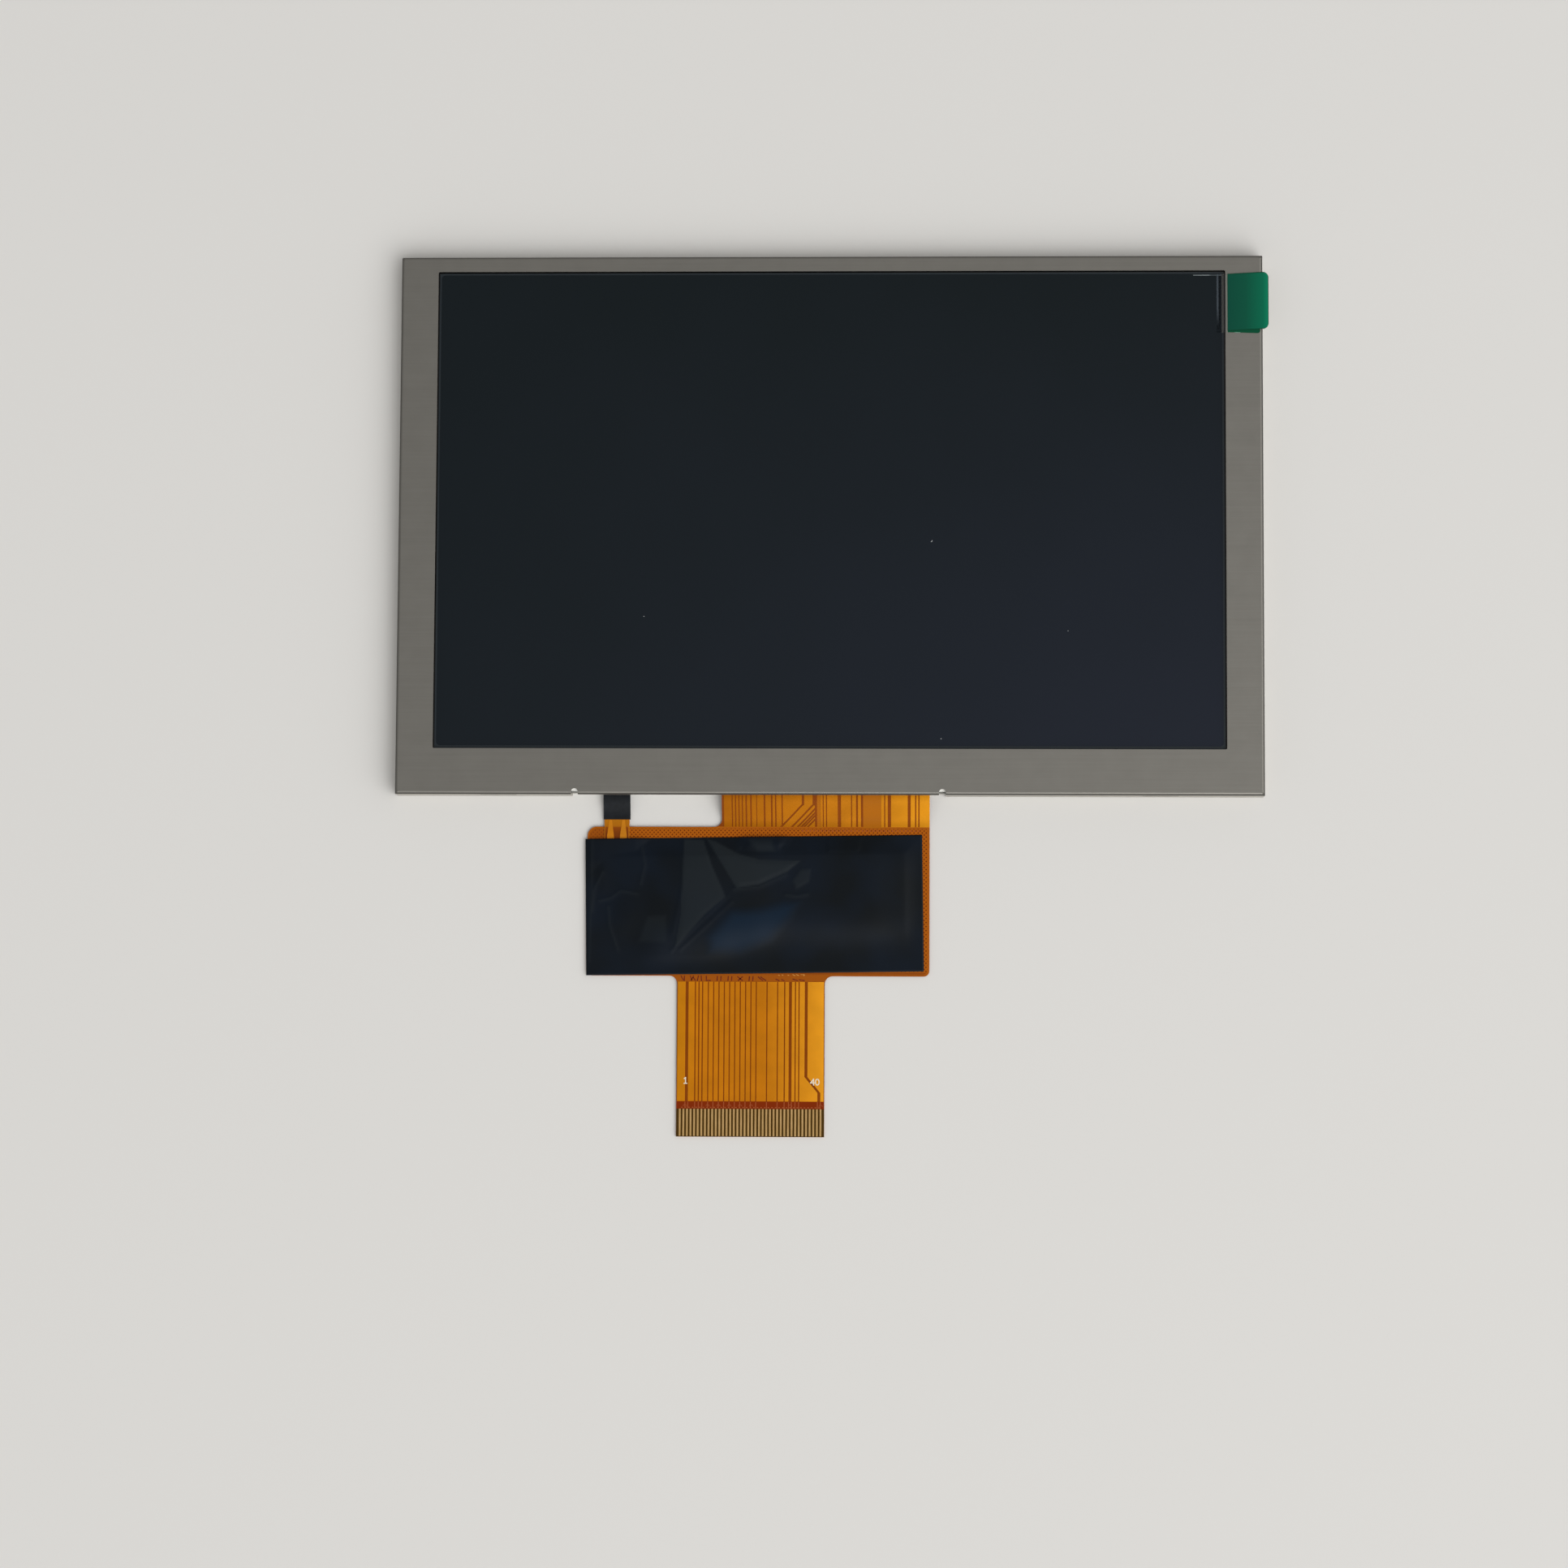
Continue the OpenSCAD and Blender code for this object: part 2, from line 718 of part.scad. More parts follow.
// One LED with its light window toward the light guide
module led(i) {
    x = (i - (led_count + 1) / 2) * led_pitch;
    window_h_in = guide_t * 0.6;
    color("#f0efe6") difference() {
        translate([x - led_l / 2, led_back, guide_z]) cube([led_l, led_d, guide_t]);
        translate([x - led_window_l / 2, led_front - led_window_d,
                   guide_z + (guide_t - window_h_in) / 2])
            cube([led_window_l, led_window_d + cut, window_h_in]);
    }
}

// ---------- display cell ----------

module rear_polariser() {
    m = rear_polariser_margin;
    color("#2a2d30") sheet([-active_right - m, active_bottom - m],
                           [active_right + m, active_top + m], rear_polariser_z, rear_polariser_t);
}

module array_glass() {
    color("#5b6a6e") sheet([-glass_right, array_bottom], [glass_right, glass_top], array_z,
                           glass_t);
}

module colour_filter_glass() {
    color("#3c464b") sheet([-glass_right, filter_bottom], [glass_right, glass_top], filter_z,
                           glass_t);
}

module front_polariser() {
    right = window_right - polariser_gap;
    color("#20262b") sheet([-right, filter_bottom + polariser_lap],
                           [right, window_top - polariser_gap], front_polariser_z,
                           front_polariser_t);
}

module protective_film() {
    right = window_right - film_inset;
    color("#1f262c") translate([0, 0, film_z]) linear_extrude(height = film_t)
        rounded([-right, window_bottom + film_inset], [right, window_top - film_inset],
                [for (i = [0:3]) film_corner_r]);
}

// Driver chip on the array glass, in the strip between the colour filter glass and the flex
module driver_chip(x, l) {
    middle = (filter_bottom + bond_top) / 2;
    color("#23252a") translate([x - l / 2, middle - driver_chip_w / 2, filter_z])
        cube([l, driver_chip_w, driver_chip_t]);
}

module source_driver_chip() {
    driver_chip(neck_x, source_chip_l);
}

module gate_driver_chip() {
    driver_chip(gate_chip_x, gate_chip_l);
}

// ---------- pull tab ----------

// Outline of a strip's free end: its long edges leave the left end at low and high and rise to
// the right by an angle, and its upright end is rounded into them
module slanted_end(left, right, low, high, rise, r) {
    lean = tan(rise);
    middle = right - r;
    upper = high + (middle - left) * lean - r / cos(rise);
    lower = low + (middle - left) * lean + r / cos(rise);
    tip = r * [sin(rise), cos(rise)];
    polygon([[left, low], [middle, lower] + [tip[0], -tip[1]], [middle, lower], [right, lower],
             [right, upper], [middle, upper], [middle, upper] + [-tip[0], tip[1]],
             [left, high]]);
    translate([middle, lower]) circle(r);
    translate([middle, upper]) circle(r);
}

module pull_tab() {
    top = window_top - tab_drop;
    bottom = top - tab_h;
    start = window_right - tab_step;
    tab_drop_z = module_t - screen_z;
    foot = start - bend_run(tab_bend_r, tab_drop_z);
    flap_left = window_right + flap_inset;
    color("#136a4f") {
        along_y(bottom, top) {
            translate([start, module_t + tab_t / 2])
                bent_layer(tab_bend_r, tab_drop_z, -tab_t / 2, tab_t / 2);
            translate([start, module_t]) square([root_lap, tab_t]);
            translate([foot - tab_foot_l, screen_z]) square([tab_foot_l, tab_t]);
        }
        translate([0, 0, module_t]) linear_extrude(height = tab_t)
            slanted_end(start, window_right + tab_under_reach, bottom, top, -tab_under_turn,
                        tab_under_r);
        translate([0, 0, module_t + tab_t - tab_step])
            linear_extrude(height = tab_t + tab_step)
            slanted_end(flap_left, window_right + tab_reach, bottom + flap_low, top - flap_drop,
                        tab_turn, tab_corner_r);
    }
}

// ---------- LED flex ----------

// Section of one layer of the LED tail, from a start inside the module to an end on the flex
module led_tail_section(from, to, low, high) {
    flat_end = led_bend_y - led_run;
    translate([led_bend_y, led_mid]) bent_layer(led_bend_r, led_drop, low, high);
    translate([led_bend_y, led_mid + low]) square([from - led_bend_y, high - low]);
    translate([to, led_mid - led_drop + low]) square([flat_end - to, high - low]);
}

module led_flex() {
    half = led_flex_t / 2;
    color("#b5701a") {
        sheet([led_strip_inset - guide_right, led_strip_bottom],
              [guide_right - led_strip_inset, led_strip_top], diffuser_z, led_flex_t);
        along_x(led_tail_left, led_tail_right)
            led_tail_section(led_strip_bottom + root_lap, led_tail_end, -half, half);
    }
}

module led_flex_sleeve() {
    half = led_flex_t / 2;
    color("#26292d") difference() {
        along_x(led_tail_left - sleeve_side, led_tail_right + sleeve_side)
            led_tail_section(sleeve_start, sleeve_end, -half - sleeve_t, half + sleeve_t);
        along_x(led_tail_left, led_tail_right)
            led_tail_section(sleeve_start + cut, sleeve_end - cut, -half, half);
    }
}

// Two tapered copper pads between the sleeve and the tape
module led_tail_pads() {
    top = sleeve_end - led_pad_gap;
    bottom = led_tail_end + led_pad_end;
    narrow = led_pad_narrow;
    wide = led_pad_wide;
    color("#d98a22") translate([0, 0, deck_z + led_flex_t]) linear_extrude(height = led_pad_t)
        for (side = [-1, 1]) {
            x = led_tail_x + side * solder_spread;
            flare_end = top - led_pad_neck_l;
            polygon([[x - narrow / 2, top], [x + narrow / 2, top],
                     [x + wide / 2, flare_end], [x + wide / 2, bottom],
                     [x - wide / 2, bottom], [x - wide / 2, flare_end]]);
        }
}

module led_tail_solder() {
    color("#b9bcbe") for (side = [-1, 1]) {
        translate([led_tail_x + side * solder_spread, led_tail_end + solder_from_end,
                   deck_z + led_flex_t + led_pad_t])
            cylinder(r1 = solder_r, r2 = solder_top_r, h = solder_h);
    }
}

// ---------- main flex ----------

// Outline of the level part: component area and tail
module level_outline() {
    rounded([area_left, area_bottom], [area_right, area_top],
            [area_low_corner_r, area_low_corner_r, 0, area_corner_r]);
    translate([tail_left, tail_bottom]) square([tail_w, tail_l]);
    fillet([tail_left, area_bottom], 180);
    fillet([tail_right, area_bottom], 270);
}

// Outline of the neck in plan, with the fillet to the component area
module neck_outline() {
    translate([neck_left, area_top]) square([neck_w, bond_top - area_top]);
    fillet([neck_left, area_top], 90);
}

// One layer of the neck: level over the glass, then down the two bends
module neck_layer(low, high) {
    along_x(neck_left - 2 * fillet_r, neck_right + fillet_r) {
        translate([neck_bend_y, filter_z + flex_t / 2])
            bent_layer(neck_bend_r, neck_drop, low, high);
        translate([neck_bend_y, filter_z + flex_t / 2 + low])
            square([bond_top - neck_bend_y, high - low]);
    }
}

module main_flex() {
    color("#7c3a12") {
        translate([0, 0, flex_z]) linear_extrude(height = flex_t) level_outline();
        intersection() {
            neck_layer(-flex_t / 2, flex_t / 2);
            linear_extrude(height = module_t) neck_outline();
        }
    }
}

// Slanting gaps that fan out of the component area; the first two end upright
module neck_slants() {
    run_up = neck_slant_rise;
    for (i = [0:len(neck_slant_starts) - 1]) {
        x = neck_left + neck_slant_starts[i];
        w = neck_slant_w;
        intersection() {
            union() {
                polygon([[x - w, area_top], [x + w, area_top],
                         [x + w + run_up, area_top + run_up], [x - w + run_up, area_top + run_up]]);
                if (i < 2) {
                    translate([x + run_up - w, area_top + run_up - w])
                        square([2 * w, neck_run + cut]);
                }
            }
            translate([neck_left, area_top]) square([neck_slant_limit, neck_run + cut]);
        }
    }
}

module neck_traces() {
    high = neck_bend_y + copper_past_bend;
    color("#c8861f") intersection() {
        neck_layer(flex_t / 2, flex_t / 2 + copper_t);
        linear_extrude(height = module_t) difference() {
            translate([neck_left, area_top]) square([neck_w, high - area_top]);
            gap_runs(neck_gap_runs, neck_left, area_top - cut, high + cut);
            neck_slants();
        }
    }
}

module ground_plane() {
    e = ground_edge;
    color("#a65a17") translate([0, 0, copper_z]) linear_extrude(height = copper_t)
        rounded([area_left + e, area_bottom + e], [area_right - e, area_top - e],
                [area_low_corner_r - e / 2, area_low_corner_r - e / 2, ground_corner_r,
                 area_corner_r - e / 2]);
}

// Wide gap that runs down the tail, steps sideways and runs on
module jogged_gap() {
    x = tail_left + jog_start - jog_w / 2;
    shifted = x + jog_step;
    high = trace_bottom + jog_top;
    low = trace_bottom + jog_bottom;
    polygon([[x, trace_top + cut], [x + jog_w, trace_top + cut], [x + jog_w, high],
             [shifted + jog_w, low], [shifted + jog_w, trace_bottom - cut],
             [shifted, trace_bottom - cut], [shifted, low], [x, high]]);
}

module tail_traces() {
    color("#d28c22") translate([0, 0, copper_z]) linear_extrude(height = copper_t) difference() {
        translate([tail_left + copper_edge, trace_bottom])
            square([tail_w - 2 * copper_edge, trace_top - trace_bottom]);
        gap_runs(tail_gap_runs, tail_left, trace_bottom - cut, trace_top + cut);
        jogged_gap();
    }
}

module contact_fingers() {
    color("#d9bd86") for (i = [1:contact_count]) {
        x = tail_left + i * contact_pitch;
        translate([x - contact_w / 2, tail_bottom + contact_end, copper_z])
            cube([contact_w, contact_l, copper_t]);
    }
}

module tail_stiffener() {
    color("#a9652a") sheet([tail_left, tail_bottom], [tail_right, tail_bottom + stiffener_l], 0,
                           stiffener_t);
}

// ---------- parts on the component area ----------

function on_area(at) = [area_left + at[0], area_top + at[1]];

// Places a part by its middle on the component area
module placed(at) {
    p = on_area(at);
    translate([p[0], p[1], deck_z]) children();
}

// Plain block standing on the origin
module block(size) {
    translate([-size[0] / 2, -size[1] / 2, 0]) cube(size);
}

// Ceramic body between two plated ends
module end_plated_part(size) {
    union() {
        block([size[0] - 2 * terminal_lap, size[1] - 2 * terminal_t, size[2] - terminal_t]);
        for (side = [-1, 1]) {
            translate([side * (size[0] - terminal_l) / 2, 0, 0])
                block([terminal_l, size[1], size[2]]);
        }
    }
}

module power_chip() {
    color("#1c1d1f") placed(power_chip_at) block(power_chip_size);
}

module buffer_chip() {
    reach = buffer_chip_size[1] + 2 * buffer_lead[1];
    color("#1c1d1f") placed(buffer_chip_at) {
        block(buffer_chip_size);
        for (side = [-1, 0, 1]) {
            translate([side * buffer_lead_pitch, 0, 0])
                block([buffer_lead[0], reach, buffer_lead[2]]);
        }
    }
}

module inductor() {
    base_h = 0.15;
    core_d = inductor_size[0] * 0.62;
    color("#3a3a3c") placed(inductor_at) {
        block([inductor_size[0], inductor_size[1], base_h]);
        cylinder(d = core_d, h = inductor_size[2]);
        translate([0, 0, inductor_size[2] - base_h])
            cylinder(d = inductor_size[0] * 0.95, h = base_h);
    }
}

module diode() {
    color("#1c1d1f") placed(diode_at) {
        block(diode_size);
        block([diode_size[0] + 2 * diode_lead[0], diode_lead[1], diode_lead[2]]);
    }
}

module capacitor(i) {
    color("#a58b6b") placed(capacitors_at[i - 1]) end_plated_part(capacitor_size);
}

module resistor(i) {
    color("#2b2d30") placed(resistors_at[i - 1]) end_plated_part(resistor_size);
}

// ---------- component tape ----------

// Everything that holds the tape up: middle, half size and height above the component area
solder_top = led_flex_t + led_pad_t + solder_h;
tape_props = concat(
    [[on_area(power_chip_at), power_chip_size / 2, power_chip_size[2]],
     [on_area(buffer_chip_at), buffer_chip_size / 2 + [0, buffer_lead[1], 0],
      buffer_chip_size[2]],
     [on_area(inductor_at), inductor_size / 2, inductor_size[2]],
     [on_area(diode_at), diode_size / 2 + [diode_lead[0], 0, 0], diode_size[2]],
     [[led_tail_x, led_tail_end + led_tail_lap / 2], [led_tail_w, led_tail_lap] / 2,
      led_flex_t + led_pad_t],
     [[led_tail_x, led_tail_end + solder_from_end],
      [solder_spread + solder_r, solder_r], solder_top]],
    [for (at = capacitors_at) [on_area(at), capacitor_size / 2, capacitor_size[2]]],
    [for (at = resistors_at) [on_area(at), resistor_size / 2, resistor_size[2]]]
);
tape_step = 1;
tape_skirt = 2.4;
tape_overhang = 0.15;
tape_top_gap = 1.4;
tape_mid = [area_left - tape_overhang + tape_w / 2, area_top - tape_top_gap - tape_h / 2];

// From 1 over a part and a step round it to 0 a skirt further out, without a corner
function eased(d) = let (s = min(max(1 - d / tape_skirt, 0), 1)) s * s * (3 - 2 * s);
function ramp(d, half) = eased(abs(d) - half - tape_step * 1.2);
function tape_turned(p) = [p[0] * cos(tape_turn) - p[1] * sin(tape_turn),
                           p[0] * sin(tape_turn) + p[1] * cos(tape_turn)];
// Height of the tape's underside above the component area
function tape_lift(p) =
    max([for (prop = tape_props)
         prop[2] * ramp(p[0] - prop[0][0], prop[1][0]) * ramp(p[1] - prop[0][1], prop[1][1])]);

module component_tape() {
    nx = ceil(tape_w / tape_step);
    ny = ceil(tape_h / tape_step);
    plan = [for (j = [0:ny], i = [0:nx])
            tape_mid + tape_turned([(i / nx - 0.5) * tape_w, (j / ny - 0.5) * tape_h])];
    under = [for (p = plan) [p[0], p[1], deck_z + tape_lift(p)]];
    over = [for (p = under) p + [0, 0, tape_t]];
    n = len(plan);
    row = nx + 1;
    cells = [for (j = [0:ny - 1], i = [0:nx - 1]) j * row + i];
    rim = concat([for (i = [0:nx]) i],
                 [for (j = [1:ny]) j * row + nx],
                 [for (i = [1:nx]) ny * row + nx - i],
                 [for (j = [1:ny - 1]) (ny - j) * row]);
    faces = concat(
        [for (c = cells) [c, c + 1, c + row + 1]],
        [for (c = cells) [c, c + row + 1, c + row]],
        [for (c = cells) [n + c, n + c + row + 1, n + c + 1]],
        [for (c = cells) [n + c, n + c + row, n + c + row + 1]],
        [for (k = [0:len(rim) - 1]) let (a = rim[k], b = rim[(k + 1) % len(rim)])
         [a, n + a, n + b]],
        [for (k = [0:len(rim) - 1]) let (a = rim[k], b = rim[(k + 1) % len(rim)])
         [a, n + b, b]]
    );
    color("#191d21") polyhedron(points = concat(under, over), faces = faces);
}

bezel();
back_plate();
mould_frame();
reflector_film();
light_guide();
diffuser_film();
prism_film_lower();
prism_film_upper();
rim_tape();
rear_polariser();
array_glass();
colour_filter_glass();
front_polariser();
protective_film();
pull_tab();
source_driver_chip();
gate_driver_chip();
led_flex();
led_flex_sleeve();
led_tail_pads();
led_tail_solder();
main_flex();
neck_traces();
ground_plane();
tail_traces();
contact_fingers();
tail_stiffener();
component_tape();
power_chip();
buffer_chip();
inductor();
diode();
for (i = [1:len(capacitors_at)]) capacitor(i);
for (i = [1:len(resistors_at)]) resistor(i);
for (i = [1:led_count]) led(i);
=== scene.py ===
"""Finishes the TFT display module: real materials on its CAD pieces, and the fine parts that they lack.

The frame is that of the CAD model: +X to the right across the screen, +Y up the screen and +Z out of it, with
the back of the module on the plane Z = 0. Blender works in metres, and named places here are in millimetres.
"""

import math

import bpy
import numpy as np
from mathutils import Euler, Matrix, Vector
from mathutils.bvhtree import BVHTree


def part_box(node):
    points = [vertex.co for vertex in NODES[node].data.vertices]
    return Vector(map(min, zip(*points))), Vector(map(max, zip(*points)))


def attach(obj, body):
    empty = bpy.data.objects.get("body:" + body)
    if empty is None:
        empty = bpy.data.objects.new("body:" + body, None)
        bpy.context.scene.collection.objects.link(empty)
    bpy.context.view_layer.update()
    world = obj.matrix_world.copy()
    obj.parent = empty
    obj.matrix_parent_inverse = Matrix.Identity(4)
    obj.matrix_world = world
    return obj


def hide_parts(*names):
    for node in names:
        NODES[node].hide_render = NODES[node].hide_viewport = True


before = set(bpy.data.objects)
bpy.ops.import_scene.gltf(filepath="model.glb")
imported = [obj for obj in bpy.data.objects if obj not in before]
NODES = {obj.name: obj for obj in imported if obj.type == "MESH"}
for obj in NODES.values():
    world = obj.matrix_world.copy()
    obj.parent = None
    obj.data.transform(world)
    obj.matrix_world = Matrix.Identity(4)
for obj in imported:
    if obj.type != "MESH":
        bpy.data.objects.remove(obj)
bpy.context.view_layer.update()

bl_info = {
    "name": "TFT display module finish",
    "version": (1, 0, 0),
    "blender": (4, 5, 0),
    "location": "3D View > Sidebar > Display module",
    "description": "Materials and fine parts of a TFT display module with a flexible circuit",
    "category": "Object",
}

MM = 0.001
BODY = "root"


# ---------- small helpers ----------


def linear(code, alpha=1.0):
    """A hex sRGB colour, such as "76736d", as linear RGBA."""
    parts = [int(code[i : i + 2], 16) / 255 for i in (0, 2, 4)]
    return tuple(c / 12.92 if c <= 0.04045 else ((c + 0.055) / 1.055) ** 2.4 for c in parts) + (alpha,)


def add_node(tree, kind, links=None, **settings):
    """Adds a node. A setting with a socket's name sets that socket, and any other sets the node itself.
    links maps a socket of the new node, by name or number, to the output that feeds it or to its value."""
    node = tree.nodes.new(kind)
    sockets = {}
    for socket in node.inputs:
        sockets.setdefault(socket.name.replace(" ", "_").lower(), socket)
        sockets[socket.identifier.replace(" ", "_").lower()] = socket
    for name, value in settings.items():
        if name in sockets:
            sockets[name].default_value = value
        else:
            setattr(node, name, value)
    for name, output in (links or {}).items():
        target = node.inputs[name] if isinstance(name, int) else sockets[name]
        if isinstance(output, bpy.types.NodeSocket):
            tree.links.new(target, output)
        else:
            target.default_value = output
    return node


def material(name, **settings):
    """A new material with a Principled shader, as (material, node tree, shader)."""
    made = bpy.data.materials.new(name)
    made.use_nodes = True
    tree = made.node_tree
    tree.nodes.clear()
    shader = add_node(tree, "ShaderNodeBsdfPrincipled", **settings)
    add_node(tree, "ShaderNodeOutputMaterial", {"surface": shader.outputs[0]})
    return made, tree, shader


def dress(tree, shader, colour, height=None, depth=0.0, strength=1.0):
    """Feeds the shader a colour and, where it has one, a pattern of heights. depth is in millimetres."""
    tree.links.new(shader.inputs["Base Color"], colour)
    if height is not None:
        relief = add_node(
            tree, "ShaderNodeBump", {"height": height}, strength=strength, distance=depth * MM
        )
        tree.links.new(shader.inputs["Normal"], relief.outputs[0])


def mottled(name, low, high, scale, depth=0.0, spread=(0.3, 0.7), **settings):
    """A material whose colour wanders between two hex colours, as (material, node tree, shader). scale is in
    spots a millimetre, and depth is that of a relief of the same pattern, in millimetres. spread is the part
    of the pattern that the colours share out."""
    made, tree, shader = material(name, **settings)
    pattern = spots(tree, scale)
    tone = along(tree, pattern, ((spread[0], low), (spread[1], high)))
    dress(tree, shader, tone, pattern if depth else None, depth, 0.5)
    return made, tree, shader


def object_space(tree, scale=(1 / MM,) * 3, turn=0.0):
    """Object coordinates in millimetres, turned about Z by some degrees."""
    source = add_node(tree, "ShaderNodeTexCoord").outputs["Object"]
    rotation = (0, 0, math.radians(turn))
    return add_node(
        tree, "ShaderNodeMapping", {"vector": source}, rotation=rotation, scale=scale
    ).outputs[0]


def within(tree, value, low, high):
    """1 where a value lies between low and high, and 0 elsewhere."""
    middle, half = (low + high) / 2, (high - low) / 2
    return add_node(tree, "ShaderNodeMath", {0: value, 1: middle, 2: half}, operation="COMPARE").outputs[0]


def coordinates(tree):
    """X, Y and Z of each point of a piece, in millimetres."""
    return add_node(tree, "ShaderNodeSeparateXYZ", {"vector": object_space(tree)}).outputs[:]


def spots(tree, scale, detail=2, stretch=(1 / MM,) * 3):
    """Soft spots from 0 to 1 all over a piece. With the plain stretch, scale is in spots a millimetre."""
    space = object_space(tree, scale=stretch)
    return add_node(tree, "ShaderNodeTexNoise", {"vector": space}, scale=scale, detail=detail).outputs[0]


def layered(tree, tone, *layers):
    """A tone with other colours laid over it in turn. Each layer is (mask, colour), and its colour holds
    where the mask is 1. Every colour is hex, linear RGBA or a node's output."""
    for mask, colour in layers:
        low, high = (linear(c) if isinstance(c, str) else c for c in (tone, colour))
        tone = add_node(tree, "ShaderNodeMix", {0: mask, 6: low, 7: high}, data_type="RGBA").outputs[2]
    return tone


def along(tree, value, stops):
    """A colour that follows a value through stops, each (value, colour). A colour is hex or linear RGBA."""
    low, high = stops[0][0], stops[-1][0]
    share = add_node(tree, "ShaderNodeMapRange", {"value": value}, from_min=low, from_max=high).outputs[0]
    ramp = add_node(tree, "ShaderNodeValToRGB", {"fac": share})
    elements = ramp.color_ramp.elements
    while len(elements) < len(stops):
        elements.new(0.5)
    for element, (at, colour) in zip(elements, stops):
        element.position = (at - low) / (high - low)
    for element, (at, colour) in zip(elements, stops):
        element.color = linear(colour) if isinstance(colour, str) else colour
    return ramp.outputs["Color"]


def wear(node_names, made):
    """Gives CAD nodes a material."""
    for name in node_names:
        mesh = NODES[name].data
        mesh.materials.clear()
        mesh.materials.append(made)


def numbered(stem):
    """The CAD nodes whose name is stem and a number."""
    return sorted(n for n in NODES if n.startswith(stem + "_") and n[len(stem) + 1 :].isdigit())


def piece_from(name, vertices, faces, made, smooth=False, slot=None, replaces=()):
    """A new piece of the module from points in metres. It rides on the one body."""
    mesh = bpy.data.meshes.new(name)
    mesh.from_pydata([tuple(v) for v in vertices], [], faces)
    return finish_piece(name, mesh, made, smooth, replaces)


def finish_piece(name, mesh, made, smooth=False, replaces=()):
    """Puts a mesh in the scene as a piece of the module."""
    mesh.name = name
    mesh.update()
    if made is not None:
        mesh.materials.clear()
        mesh.materials.append(made)
    if smooth:
        mesh.shade_smooth()
    else:
        mesh.shade_flat()
    piece = bpy.data.objects.new(name, mesh)
    bpy.context.scene.collection.objects.link(piece)
    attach(piece, BODY)
    if replaces:
        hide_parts(*replaces)
    return piece


def box_faces(base):
    """Faces of a box whose eight points start at base: the lower four first, and each ring anticlockwise from
    above."""
    a, b, c, d, e, f, g, h = range(base, base + 8)
    return [(d, c, b, a), (e, f, g, h), (a, b, f, e), (b, c, g, f), (c, d, h, g), (d, a, e, h)]


def boxes(name, rows, made, slot=None):
    """One piece of many upright boxes, each (x0, y0, x1, y1, z0, z1) in millimetres."""
    points, faces = [], []
    for x0, y0, x1, y1, z0, z1 in rows:
        faces += box_faces(len(points))
        ring = ((x0, y0), (x1, y0), (x1, y1), (x0, y1))
        points += [(x * MM, y * MM, z * MM) for z in (z0, z1) for x, y in ring]
    return piece_from(name, points, faces, made, slot=slot)


# ---------- the operators' settings ----------


def hex_colour(name, description, default):
    """A setting that holds a colour."""
    return bpy.props.StringProperty(name=name, description=description + ", as hex sRGB", default=default)


class BezelSettings(bpy.types.PropertyGroup):
    """The folded steel shells"""

    colour: hex_colour("Steel colour", "Colour of the bezel's steel", "8f8c85")
    back_colour: hex_colour("Back colour", "Colour of the back plate's steel", "9b9a95")
    roughness: bpy.props.FloatProperty(
        name="Roughness", description="Roughness of the matte rolled sheet", default=0.42, min=0, max=1
    )


class ScreenSettings(bpy.types.PropertyGroup):
    """The dark screen and its films"""

    film_colour: hex_colour("Film colour", "Colour of the unlit screen seen through its film", "0b1418")
    polariser_colour: hex_colour("Polariser colour", "Colour of the polariser's bare rim", "171f25")


class FlexSettings(bpy.types.PropertyGroup):
    """The flexible circuits"""

    film_colour: hex_colour("Film colour", "Film where no copper lies under the cover", "7f2b06")
    hatch_pitch: bpy.props.FloatProperty(
        name="Hatch pitch",
        description="Pitch of the hatched copper",
        default=0.4 * MM,
        unit="LENGTH",
        min=0.1 * MM,
    )


class TapeSettings(bpy.types.PropertyGroup):
    """The black tape over the components"""

    colour: hex_colour("Tape colour", "Colour of the black polyester tape", "050b10")
    crease: bpy.props.FloatProperty(
        name="Crease", description="Height of the tape's folds", default=0.06 * MM, unit="LENGTH", min=0
    )


class TabSettings(bpy.types.PropertyGroup):
    """The green pull tab"""

    colour: hex_colour("Tab colour", "Colour of the green tab", "08664a")


class StageSettings(bpy.types.PropertyGroup):
    """Floor, light and camera"""

    floor_colour: hex_colour("Floor colour", "Colour of the pale floor", "dedcd8")
    lens: bpy.props.FloatProperty(
        name="Lens", description="Focal length in millimetres on a 36 mm wide sensor", default=93.17, min=20
    )


class ModuleSettings(bpy.types.PropertyGroup):
    """All settings of the display module"""

    bezel: bpy.props.PointerProperty(type=BezelSettings)
    screen: bpy.props.PointerProperty(type=ScreenSettings)
    flex: bpy.props.PointerProperty(type=FlexSettings)
    tape: bpy.props.PointerProperty(type=TapeSettings)
    tab: bpy.props.PointerProperty(type=TabSettings)
    stage: bpy.props.PointerProperty(type=StageSettings)


def settings():
    """The settings of the display module in this scene."""
    return bpy.context.scene.display_module


# ---------- materials of the shells ----------


